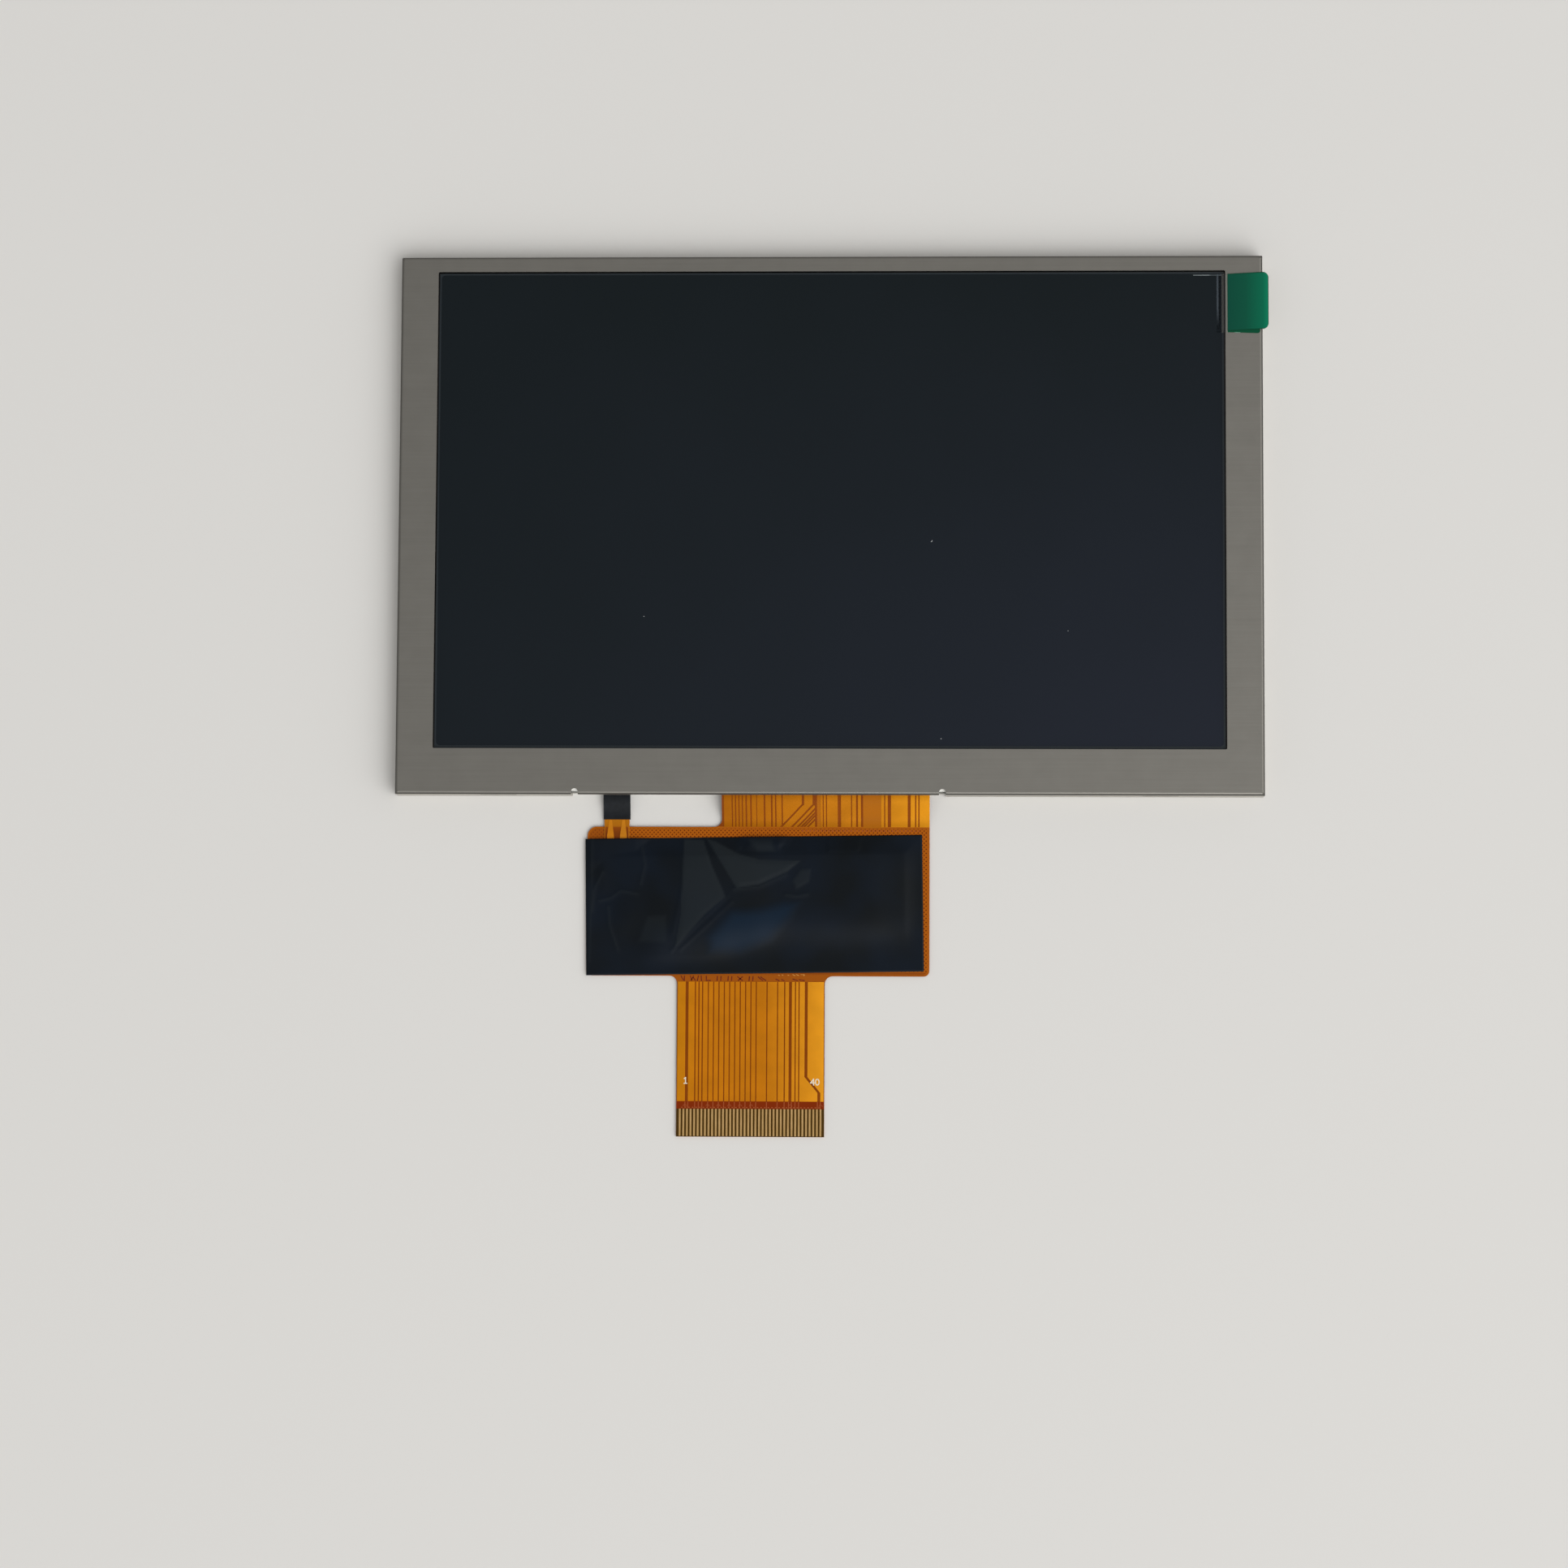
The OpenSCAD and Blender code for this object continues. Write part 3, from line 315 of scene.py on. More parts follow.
def rolled_steel(name, colour, roughness):
    """Matte cold-rolled stainless sheet: faint lines along the rolling direction, and a soft mottle from the
    temper rolls that breaks up the reflection. A painted shade darkens the folds, and a painted reflection
    of the bright floor lightens the walls."""
    made, tree, shader = material(name, metallic=0.9, roughness=roughness)
    lines = spots(tree, 1, detail=3, stretch=(60, 4200, 4200))
    mottle = spots(tree, 0.35, detail=3)
    both = add_node(tree, "ShaderNodeMix", {0: 0.5, 2: mottle, 3: lines}, data_type="FLOAT").outputs[0]
    base = linear(colour)
    dull, bright, fold_shade, wall_reflection = (tuple(c * k for c in base[:3]) + (1,) for k in (0.95, 1.05, 0.3, 1.7))
    tone = along(tree, both, ((0.3, dull), (0.7, bright)))
    normal = add_node(tree, "ShaderNodeTexCoord").outputs["Normal"]
    facing = add_node(tree, "ShaderNodeSeparateXYZ", {"vector": normal}).outputs["Z"]
    # Painted shade on the folds and painted reflection of the floor on the walls, chosen by which way each
    # face looks
    for start, end, shade in ((0.985, 0.75, fold_shade), (0.3, 0.1, wall_reflection)):
        part = add_node(tree, "ShaderNodeMapRange", {"value": facing}, from_min=start, from_max=end)
        tone = layered(tree, tone, (part.outputs[0], shade))
    dress(tree, shader, tone, lines, 0.002, 0.25)
    return made


class DISPLAY_OT_shells(bpy.types.Operator):
    """Finish the bezel and the back plate as matte rolled steel"""

    bl_idname = "display.shells"
    bl_label = "Steel shells"

    def execute(self, context):
        s = settings().bezel
        wear(["bezel"], rolled_steel("matte rolled stainless steel", s.colour, s.roughness))
        wear(["back_plate"], rolled_steel("rolled stainless steel, back", s.back_colour, s.roughness))
        return {"FINISHED"}


# ---------- screen ----------

# Dust on the film: place, length and turn, in millimetres and degrees
MOTES = (
    (14.26, -2.39, 0.34, 48),
    (-25.84, -12.96, 0.14, 0),
    (33.2, -14.95, 0.11, 30),
    (15.6, -30.05, 0.16, 10),
)
# Painted highlight on the cut edge of the film above the tab's leader: left, low, right and high side in
# millimetres
LEADER_EDGE_HIGHLIGHT = (50.7, 35.12, 54.65, 35.22)


def mote(x, y, z, length, turn):
    """Points and faces of a curved fibre of dust that lies at a height z in metres. The rest is in
    millimetres and degrees."""
    points, faces = [], []
    steps = 6
    for i in range(steps + 1):
        t = i / steps - 0.5
        wide = 0.03 * (1 - (2 * t) ** 4) + 0.008
        middle = Vector((length * t, 0.5 * length * t * t))
        for rise in (0, 0.02):
            for side in (-wide, wide):
                p = Matrix.Rotation(math.radians(turn), 2) @ (middle + Vector((0, side)))
                points.append(((x + p.x) * MM, (y + p.y) * MM, z + rise * MM))
    for i in range(steps):
        a = 4 * i
        b = a + 4
        faces += [(a, a + 1, b + 1, b), (a + 2, b + 2, b + 3, a + 3)]
        faces += [(a, b, b + 2, a + 2), (a + 1, a + 3, b + 3, b + 1)]
    faces += [(0, 2, 3, 1), (b, b + 1, b + 3, b + 2)]
    return points, faces


class DISPLAY_OT_screen(bpy.types.Operator):
    """Finish the display cell and its films"""

    bl_idname = "display.screen"
    bl_label = "Screen"

    def execute(self, context):
        s = settings().screen
        # Clear polyester over the anti-glare polariser: the eye sees the unlit cell through it. A soft sheen
        # that grows to the right and downwards is painted into its colour
        film, tree, shader = material("clear film over unlit screen", roughness=0.24, ior=1.36)
        x, y, _ = coordinates(tree)
        down = add_node(tree, "ShaderNodeMapRange", {"value": y}, from_min=36, from_max=-31)
        right = add_node(tree, "ShaderNodeMapRange", {"value": x}, from_min=-55, from_max=55, to_min=0.18)
        both = {0: down.outputs[0], 1: right.outputs[0]}
        painted_glow = add_node(tree, "ShaderNodeMath", both, operation="MULTIPLY").outputs[0]
        cloud = spots(tree, 0.04, detail=3)
        haze = add_node(
            tree,
            "ShaderNodeMapRange",
            {"value": cloud},
            from_min=0.3,
            from_max=0.7,
            to_min=-0.06,
            to_max=0.06,
        ).outputs[0]
        painted_sheen = add_node(tree, "ShaderNodeMath", {0: painted_glow, 1: haze}, operation="ADD").outputs[0]
        dress(tree, shader, along(tree, painted_sheen, ((0, s.film_colour), (1, "1b202b"))))
        wear(["protective_film"], film)
        # Anti-glare polariser: the same dark cell with a rougher surface, a shade lighter at its bare rim
        polariser, tree, shader = material("anti-glare polariser", roughness=0.38, ior=1.45)
        frost = spots(tree, 9, detail=1)
        tone = along(tree, frost, ((0.3, s.polariser_colour), (0.7, "1e282e")))
        dress(tree, shader, tone, frost, 0.001, 0.3)
        wear(["front_polariser"], polariser)
        # A few motes of dust on the film, and a painted highlight on the edge of the film above the tab's
        # leader
        dust = mottled("grey dust", "a0a4a5", "c9cccb", 40, roughness=0.9)[0]
        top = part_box("protective_film")[1][2]
        for number, (x, y, length, turn) in enumerate(MOTES, 1):
            piece_from(f"mote_{number}", *mote(x, y, top, length, turn), dust)
        # The edge is a thin grey box, a painted highlight whose brightness changes along X
        edge, tree, shader = material("cut edge of clear film", roughness=0.3)
        stops = ((50.6, "6d7577"), (52.8, "868e90"), (53.2, "4a5257"), (54.8, "5a6266"))
        dress(tree, shader, along(tree, coordinates(tree)[0], stops))
        boxes("leader_edge", [(*LEADER_EDGE_HIGHLIGHT, top / MM + 0.001, top / MM + 0.006)], edge)
        # Glass with its black matrix printed behind it, and the bare glass ledge with its clear greenish tint
        matrix = mottled("black matrix glass", "06080a", "0a0c0e", 1.5, roughness=0.12, ior=1.5)[0]
        wear(["colour_filter_glass"], matrix)
        glass = mottled(
            "display glass", "56666a", "62726f", 0.2, roughness=0.08, ior=1.5, transmission_weight=0.3
        )[0]
        wear(["array_glass"], glass)
        # Neutral grey film with a fine grain in its coating
        rear = mottled("neutral grey polariser", "222528", "292c2f", 8, 0.001, roughness=0.3)[0]
        wear(["rear_polariser"], rear)
        # Bare silicon: blocks of circuits show as faint bands across the mirror-like back of the chip
        silicon, tree, shader = material("bare silicon", roughness=0.18, metallic=0.5)
        bands = spots(tree, 1, detail=1, stretch=(9000, 900, 1000))
        dress(tree, shader, along(tree, bands, ((0.45, "1f2126"), (0.55, "2c2f36"))))
        wear(["source_driver_chip", "gate_driver_chip"], silicon)
        return {"FINISHED"}


# ---------- backlight ----------

# Half the pitch of the prism films' ridges, in millimetres
RIDGE = 0.025


class DISPLAY_OT_backlight(bpy.types.Operator):
    """Finish the backlight inside the shells"""

    bl_idname = "display.backlight"
    bl_label = "Backlight"

    def execute(self, context):
        for piece, name, low, high, scale, depth, rough in (
            # Moulded plastic: an even matte white with a fine grain
            ("mould_frame", "moulded white polycarbonate", "e4e4df", "ebebe6", 6, 0.003, 0.45),
            # Silver white film: a soft shine with broad, shallow waves
            ("reflector_film", "silver white reflector film", "eeeeed", "f5f5f4", 0.4, 0.002, 0.3),
            # Frosted film: no shine, only a fine grain
            ("diffuser_film", "frosted film", "ecece9", "f3f3f1", 12, 0.004, 0.6),
            # Black tape: dull, with a faint unevenness
            ("rim_tape", "black double-sided tape", "121212", "191919", 3, 0.002, 0.6),
        ):
            wear([piece], mottled(name, low, high, scale, depth, roughness=rough)[0])
        # Clear acrylic with rows of fine printed dots on its back, which turn the light out of the guide
        guide, tree, shader = material("clear acrylic", roughness=0.05, ior=1.49, transmission_weight=0.8)
        space = object_space(tree)
        dots = add_node(tree, "ShaderNodeTexVoronoi", {"vector": space}, scale=2.5, randomness=0)
        dress(tree, shader, along(tree, dots.outputs["Distance"], ((0.2, "ffffff"), (0.28, "e9f0f3"))))
        wear(["light_guide"], guide)
        # Clear film with fine ridges side by side: across the screen on one sheet, and up it on the other
        for name, way in (("prism_film_lower", 0), ("prism_film_upper", 1)):
            label = "ridged " + name.replace("_", " ")
            ridged, tree, shader = material(label, roughness=0.25, ior=1.5, transmission_weight=0.5)
            across = coordinates(tree)[way]
            rise = add_node(tree, "ShaderNodeMath", {0: across, 1: RIDGE}, operation="PINGPONG").outputs[0]
            ridge = add_node(
                tree, "ShaderNodeMath", {0: rise, 1: 1 / RIDGE}, operation="MULTIPLY"
            ).outputs[0]
            # Painted shade: the colour is darker in the ridges' valleys and paler on their crests
            dress(tree, shader, along(tree, ridge, ((0, "d6dee3"), (1, "e6ecef"))), ridge, 0.02, 0.4)
            wear([name], ridged)
        # White package with its window of yellow phosphor towards the light guide
        led, tree, shader = material("white LED package", roughness=0.4)
        normal = add_node(tree, "ShaderNodeTexCoord").outputs["Normal"]
        facing = add_node(tree, "ShaderNodeSeparateXYZ", {"vector": normal}).outputs["Y"]
        recessed = within(tree, coordinates(tree)[1], -50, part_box("led_01")[1][1] / MM - 0.01)
        front = within(tree, facing, 0.5, 1.5)
        window = add_node(tree, "ShaderNodeMath", {0: front, 1: recessed}, operation="MULTIPLY").outputs[0]
        body = along(tree, spots(tree, 5), ((0, "ecebe0"), (1, "f4f3e9")))
        dress(tree, shader, layered(tree, body, (window, "e8d24a")))
        wear(numbered("led"), led)
        return {"FINISHED"}


# ---------- flexible circuits ----------

# Colours of the copper under its film, growing brighter to the right as a painted sheen: place on X in
# millimetres, and colour
NECK_COPPER_SHEEN = ((-15, "a05c05"), (-4, "b66d0b"), (4, "bb7310"), (9, "c67e12"), (14, "d88e17"))
TAIL_COPPER_SHEEN = ((-21, "c97f0e"), (-18, "c9790f"), (-9, "c5760e"), (-3, "de901b"), (-0.5, "ef9f22"))
PAD_COPPER_SHEEN = ((-31, "cc7d18"), (-28, "cf831f"))
# Stretches across the neck, from its left edge in millimetres, where the film between the traces is paler
NECK_PATCHES = ((12.95, 13.75), (19.35, 22.15))
# Width of the hatched copper's lines in millimetres
HATCH_WIDTH = 0.21
# How far above the component area the neck's film reaches, in millimetres
NECK_RISE = 9
# Width in millimetres of the solid copper at the ground plane's left end, and how much it hides the lattice
SOLID_END = 2.15
SOLID_SHARE = 0.6
# How far below the contacts' upper ends the film's colours for the tail's end hold, in millimetres
TAIL_END = 9
# Copper marks where the neck leaves the component area: the first one's place on X, how far they lie below
# the area's rim, and their pitch, all in millimetres, and how many there are
ROOT_MARK_X = -3.6
ROOT_MARK_DROP = 0.28
ROOT_MARK_PITCH = 0.52
ROOT_MARK_COUNT = 32


def amber_copper(name, stops):
    """Copper plane under a thin amber polyimide cover: a warm metal glow under a smooth film, with faint
    unevenness where the cover was pressed on. The colour follows X through stops, which give the copper's
    colour and a painted sheen that brightens it along X."""
    made, tree, shader = material(name, metallic=0.2, roughness=0.36, ior=1.15)
    cloud = spots(tree, 0.3, detail=3)
    level = add_node(
        tree, "ShaderNodeMapRange", {"value": cloud}, from_min=0.3, from_max=0.7, to_min=0.92, to_max=1.08
    ).outputs[0]
    tone = along(tree, coordinates(tree)[0], stops)
    varied = add_node(tree, "ShaderNodeHueSaturation", {"value": level, "color": tone}).outputs[0]
    dress(tree, shader, varied, spots(tree, 1.6), 0.004, 0.4)
    return made


def lattice(tree, pitch, width):
    """1 on the lines of a lattice that runs at 45 degrees, and 0 in its openings. pitch and width are in
    millimetres."""
    turned = object_space(tree, scale=(1 / MM / pitch,) * 3, turn=45)
    place = add_node(tree, "ShaderNodeSeparateXYZ", {"vector": turned}).outputs
    edge = 0.5 * (1 - width / pitch)
    lines = []
    for way in ("X", "Y"):
        wave = add_node(tree, "ShaderNodeMath", {0: place[way], 1: 0.5}, operation="PINGPONG").outputs[0]
        line = add_node(tree, "ShaderNodeMath", {0: wave, 1: edge}, operation="GREATER_THAN").outputs[0]
        lines.append(line)
    return add_node(tree, "ShaderNodeMath", {0: lines[0], 1: lines[1]}, operation="MAXIMUM").outputs[0]


def oval(count=14):
    """Points round a narrow oval, from -1 to 1 in height, for the digit 0."""
    angles = [2 * math.pi * i / count for i in range(count + 1)]
    return [(0.62 * math.sin(a), math.cos(a)) for a in angles]


# Half the width of the copper lines in the bare band above the contacts, in millimetres
LINE_HALF_WIDTH = 0.06
# Small copper loops in the same band: their middles and half their sizes, in millimetres
LOOP_Y = -80.98
LOOP_HALF_WIDTH = 0.24
LOOP_HALF_HEIGHT = 0.22
BAND_LOOPS = (-19.75, -16.6, -15.1, -13.6, -12.1, -10.6, -5.15, -0.95)
# Openings and bright ends of the copper at the top of the tail, as strokes in millimetres
TAIL_OPENINGS = [
    [(-19.93, -63.0), (-19.97, -63.6)],
    [(-20.4, -63.0), (-20.12, -63.5)],
    [(-19.12, -63.0), (-18.92, -63.5)],
    [(-18.68, -63.0), (-19.0, -63.58)],
    [(-18.72, -63.2), (-18.45, -63.55)],
    [(-18.0, -63.0), (-18.14, -63.6)],
    [(-17.62, -63.0), (-17.55, -63.6)],
    [(-16.9, -63.0), (-16.89, -63.58), (-16.35, -63.6)],
    [(-12.52, -63.08), (-11.9, -63.56)],
    [(-11.9, -63.08), (-12.45, -63.56)],
    [(-9.66, -63.1), (-9.08, -63.56)],
    [(-9.3, -63.1), (-8.65, -63.56)],
    [(-7.2, -63.4), (-6.8, -63.58)],
    [(-6.4, -63.45), (-6.1, -63.6)],
    [(-4.85, -63.38), (-4.25, -63.55)],
    [(-3.98, -63.45), (-3.3, -63.57)],
] + [
    [(x + shift, -63.06), (x + shift - 0.04, -63.58)]
    for x in (-15.1, -13.6, -10.66)
    for shift in (-0.25, 0.25)
]
TAIL_COPPER_ENDS = [
    [(-4.9, -62.72), (-4.6, -62.88)],
    [(-4.4, -62.7), (-4.1, -62.86)],
    [(-3.8, -62.7), (-3.3, -62.72), (-3.33, -62.88)],
    [(-6.86, -62.82), (-6.76, -62.86)],
    [(-6.37, -62.78), (-6.27, -62.82)],
    [(-5.55, -62.8), (-5.45, -62.84)],
]


# Strokes of the printed digits, from -1 to 1 in height
DIGITS = {
    "1": [[(-0.4, 0.62), (0.05, 1), (0.05, -1)], [(-0.42, -1), (0.5, -1)]],
    "4": [[(0.35, -1), (0.35, 1), (-0.66, -0.3), (0.7, -0.3)]],
    "0": [oval()],
}
# Middles of the printed numbers of the first and the last contact, half the height of a digit and the pitch
# of the digits, in millimetres
NUMBER_PLACES = ((-19.7, -77.45), (-1.75, -77.6))
DIGIT_HALF_HEIGHT = 0.4
DIGIT_PITCH = 0.66


def printed(name, strokes, width, z, made):
    """Thin raised print along strokes in millimetres. Each leg of a stroke is a flat bar. The bars overlap at
    their ends, at slightly different heights so that no two of their faces coincide."""
    points, faces = [], []
    for stroke in strokes:
        for number, ((x0, y0), (x1, y1)) in enumerate(zip(stroke, stroke[1:])):
            top = 0.006 + 0.001 * (number % 3) + 0.003 * (len(stroke) == 2)
            leg = Vector((x1 - x0, y1 - y0)).normalized() * width / 2
            side = Vector((-leg.y, leg.x))
            a, b = Vector((x0, y0)) - leg, Vector((x1, y1)) + leg
            faces += box_faces(len(points))
            points += [
                (p.x * MM, p.y * MM, z + h * MM)
                for h in (0, top)
                for p in (a - side, b - side, b + side, a + side)
            ]
    return piece_from(name, points, faces, made)


def trace_edges(name):
    """Left and right edge of each copper run of a CAD node at its lower end, in millimetres, from left to
    right."""
    points = [v.co for v in NODES[name].data.vertices]
    end = min(p.y for p in points)
    edges = sorted({round(p.x / MM, 3) for p in points if p.y < end + 0.01 * MM})
    return list(zip(edges[::2], edges[1::2]))


def row_of(name, first, step, count, size, made):
    """A row of equal flat bars, made by Geometry Nodes. first is the middle of the first bar."""
    group = bpy.data.node_groups.new(name, "GeometryNodeTree")
    group.interface.new_socket("Geometry", in_out="OUTPUT", socket_type="NodeSocketGeometry")
    inputs = {
        "Count": ("NodeSocketInt", count),
        "First": ("NodeSocketVector", first),
        "Step": ("NodeSocketVector", step),
        "Size": ("NodeSocketVector", size),
        "Material": ("NodeSocketMaterial", made),
    }
    keys = {
        label: group.interface.new_socket(label, in_out="INPUT", socket_type=kind).identifier
        for label, (kind, value) in inputs.items()
    }
    given = add_node(group, "NodeGroupInput").outputs
    places = {"count": given["Count"], "start_location": given["First"], "offset": given["Step"]}
    line = add_node(group, "GeometryNodeMeshLine", places)
    bar = add_node(group, "GeometryNodeMeshCube", {"size": given["Size"]})
    parts = {"points": line.outputs[0], "instance": bar.outputs[0]}
    placed = add_node(group, "GeometryNodeInstanceOnPoints", parts)
    real = add_node(group, "GeometryNodeRealizeInstances", {"geometry": placed.outputs[0]})
    clad = {"geometry": real.outputs[0], "material": given["Material"]}
    dressed = add_node(group, "GeometryNodeSetMaterial", clad)
    add_node(group, "NodeGroupOutput", {"geometry": dressed.outputs[0]})
    host = bpy.data.objects.new(name, bpy.data.meshes.new(name + " host"))
    bpy.context.scene.collection.objects.link(host)
    modifier = host.modifiers.new(name, "NODES")
    modifier.node_group = group
    for label, (kind, value) in inputs.items():
        modifier[keys[label]] = value
    bpy.context.view_layer.update()
    evaluated = host.evaluated_get(bpy.context.evaluated_depsgraph_get())
    mesh = bpy.data.meshes.new_from_object(evaluated)
    bpy.data.objects.remove(host)
    return finish_piece(name, mesh, None)


class DISPLAY_OT_main_flex(bpy.types.Operator):
    """Finish the main flexible circuit with its hatched copper, traces and contacts"""

    bl_idname = "display.main_flex"
    bl_label = "Main flex"

    def execute(self, context):
        s = settings().flex
        tail = trace_edges("tail_traces")
        fingers = trace_edges("contact_fingers")
        band_top = min(v.co.y for v in NODES["tail_traces"].data.vertices) / MM
        tail_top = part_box("tail_traces")[1][1] / MM
        fingers_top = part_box("contact_fingers")[1][1] / MM
        area_low, area_high = (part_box("ground_plane")[i][1] / MM for i in (0, 1))
        area_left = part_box("ground_plane")[0][0] / MM
        neck_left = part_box("neck_traces")[0][0] / MM
        # Polyimide film without copper on its face: amber at its rim, red-brown between the traces, and
        # darker again where the stiffener lies under the contacts
        film, tree, shader = material("amber polyimide film", roughness=0.32, ior=1.15)
        x, y, _ = coordinates(tree)
        neck = within(tree, y, area_high + 0.12, area_high + NECK_RISE)
        patches = []
        for start, end in NECK_PATCHES:
            wide = within(tree, x, neck_left + start, neck_left + end)
            patch = add_node(tree, "ShaderNodeMath", {0: wide, 1: neck}, operation="MINIMUM").outputs[0]
            patches.append((patch, "a9620f"))
        tone = layered(
            tree,
            "7c3a08",
            (spots(tree, 0.5), "8a440c"),
            (within(tree, y, area_low - 0.3, area_high + 0.3), "a85a12"),
            (within(tree, y, tail_top, area_low), "9d5210"),
            *patches,
            (within(tree, y, fingers_top - TAIL_END, band_top), s.film_colour),
            (within(tree, y, fingers_top - TAIL_END, fingers_top), "46300c"),
        )
        dress(tree, shader, tone, spots(tree, 1.2), 0.004, 0.4)
        wear(["main_flex"], film)
        wear(["neck_traces"], amber_copper("neck copper under amber film", NECK_COPPER_SHEEN))
        wear(["tail_traces"], amber_copper("tail copper under amber film", TAIL_COPPER_SHEEN))
        # Ground plane on the face of the component area: copper etched to a lattice, solid at the left end
        ground, tree, shader = material(
            "hatched copper under amber film", metallic=0.1, roughness=0.36, ior=1.15
        )
        x, y, _ = coordinates(tree)
        net = lattice(tree, s.hatch_pitch / MM, HATCH_WIDTH)
        left_end = within(tree, x, area_left - 1, area_left + SOLID_END)
        share = {0: left_end, 1: SOLID_SHARE}
        solid = add_node(tree, "ShaderNodeMath", share, operation="MULTIPLY").outputs[0]
        lower_rim = within(tree, y, area_low - 1, area_low + 0.3)
        cover = add_node(tree, "ShaderNodeMath", {0: solid, 1: lower_rim}, operation="MAXIMUM").outputs[0]
        plain = layered(tree, "8a4410", (spots(tree, 0.8), "994d12"))
        tone = layered(tree, "70300a", (net, "ae5c0f"), (cover, plain))
        dress(tree, shader, tone, net, 0.004, 0.5)
        wear(["ground_plane"], ground)
        # Thin gold plating: a warm pale metal, with faint scuffs along the contacts
        gold, tree, shader = material("thin gold over nickel", metallic=0.5, roughness=0.32, ior=1.3)
        scuffs = spots(tree, 1, stretch=(9000, 500, 1000))
        dress(tree, shader, along(tree, scuffs, ((0.3, "bc955a"), (0.7, "dab278"))))
        wear(["contact_fingers"], gold)
        # Laminated polyimide: plain amber brown, and dull
        laminate = mottled(
            "laminated polyimide stiffener", "a35f26", "ad6a2e", 0.6, spread=(0, 1), roughness=0.4
        )[0]
        wear(["tail_stiffener"], laminate)
        # Fine copper in the bare band: lines that lead on from the traces, and the ends of the contacts' runs
        pale = mottled(
            "thin copper under dark film", "94441d", "a55226", 3, spread=(0, 1), roughness=0.4, ior=1.3
        )[0]
        band_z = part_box("contact_fingers")[0][2] / MM
        low, high = fingers_top + 0.08, band_top - 0.06
        rows = []
        for (_, start), (end, _) in zip(tail, tail[1:]):
            narrow = (end - start) / 2 < 2 * LINE_HALF_WIDTH
            for x in [(start + end) / 2] if narrow else [start, end]:
                left, right = x - LINE_HALF_WIDTH, x + LINE_HALF_WIDTH
                rows.append((left, low, right, high, band_z, band_z + 0.008))
        boxes("band_lines", rows, pale, slot="copper_planes")
        angles = [math.pi * k / 6 for k in range(7)]
        loops = [
            [(x + LOOP_HALF_WIDTH * math.cos(a), LOOP_Y + LOOP_HALF_HEIGHT * math.sin(a)) for a in angles]
            for x in BAND_LOOPS
        ]
        printed("band_loops", loops, 0.07, (band_z + 0.004) * MM, pale)
        pitch = fingers[1][0] - fingers[0][0]
        row_of(
            "contact_run_ends",
            first=((fingers[0][0] + pitch / 2 + 0.15) * MM, (fingers_top + 0.2) * MM, (band_z + 0.005) * MM),
            step=(pitch * MM, 0, 0),
            count=len(fingers) - 1,
            size=(0.22 * MM, 0.14 * MM, 0.01 * MM),
            made=pale,
        )
        # Where the traces of the tail begin: dark openings in the copper and a few bright copper ends
        dark = mottled("bare film round the pads", "5e1c03", "7a2c08", 3, roughness=0.4, ior=1.3)[0]
        printed("tail_openings", TAIL_OPENINGS, 0.15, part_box("tail_traces")[0][2], dark)
        bright = mottled("bright copper ends", "c98a3c", "d9a04e", 3, roughness=0.4, ior=1.3)[0]
        printed("tail_copper_ends", TAIL_COPPER_ENDS, 0.1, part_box("tail_traces")[0][2], bright)
        ground_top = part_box("ground_plane")[1][2]
        row_of(
            "neck_root_marks",
            first=(ROOT_MARK_X * MM, (area_high - ROOT_MARK_DROP) * MM, ground_top + 0.004 * MM),
            step=(ROOT_MARK_PITCH * MM, 0, 0),
            count=ROOT_MARK_COUNT,
            size=(0.2 * MM, 0.16 * MM, 0.008 * MM),
            made=pale,
        )
        # Contact numbers, printed white beside the first and the last contact
        white = mottled("white screen print", "d9cdb4", "efe6d2", 6, spread=(0, 1), roughness=0.6)[0]
        print_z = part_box("tail_traces")[1][2]
        for text, (x, y) in zip(("1", str(len(fingers))), NUMBER_PLACES):
            strokes = []
            for place, digit in enumerate(text):
                middle = x + (place - (len(text) - 1) / 2) * DIGIT_PITCH
                half = DIGIT_HALF_HEIGHT
                strokes += [[(middle + u * half, y + v * half) for u, v in line] for line in DIGITS[digit]]
            printed("contact_number_" + text, strokes, 0.14, print_z, white)
        return {"FINISHED"}


class DISPLAY_OT_led_flex(bpy.types.Operator):
    """Finish the LED flex, its sleeve, pads and solder"""

    bl_idname = "display.led_flex"
    bl_label = "LED flex"

    def execute(self, context):
        # Thin clear amber film: bright where it lies over the pale floor, and brown where the main flex is
        # behind it
        film, tree, shader = material("amber polyimide, thin", roughness=0.3, ior=1.2)
        x, y, _ = coordinates(tree)
        left, right = (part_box("led_tail_pads")[i][0] / MM for i in (0, 1))
        cloud = {0: spots(tree, 1.2), 1: 0.35}
        faint = add_node(tree, "ShaderNodeMath", cloud, operation="MULTIPLY").outputs[0]
        tone = layered(
            tree,
            along(tree, y, ((-43.2, "6e2f07"), (-42.35, "8a4209"), (-42.1, "b06a0e"), (-41.2, "b8740f"))),
            (within(tree, x, left - 3, left - 0.28), "b9701a"),
            (within(tree, x, right + 0.22, right + 3), "b9701a"),
            (faint, "8f4d0c"),
        )
        dress(tree, shader, tone)
        wear(["led_flex"], film)
        # Black insulating film: dark and soft, with shallow waves where it wraps the flex
        sleeve = mottled(
            "black insulating film", "15181b", "1b1e22", 1.5, 0.003, roughness=0.5, ior=1.25
        )[0]
        wear(["led_flex_sleeve"], sleeve)
        # Plated pads: the same warm glow under the film as the main flex's copper, with a painted sheen along
        # X
        wear(["led_tail_pads"], amber_copper("plated pads under amber film", PAD_COPPER_SHEEN))
        # Tin solder: bright metal with soft dimples where it flowed
        solder = mottled("tin solder", "aeb1b3", "c6c9cb", 9, 0.01, metallic=1.0, roughness=0.3)[0]
        wear(["led_tail_solder"], solder)
        return {"FINISHED"}


# Width of the tin bands of the capacitors and resistors, in millimetres
BAND = 0.25


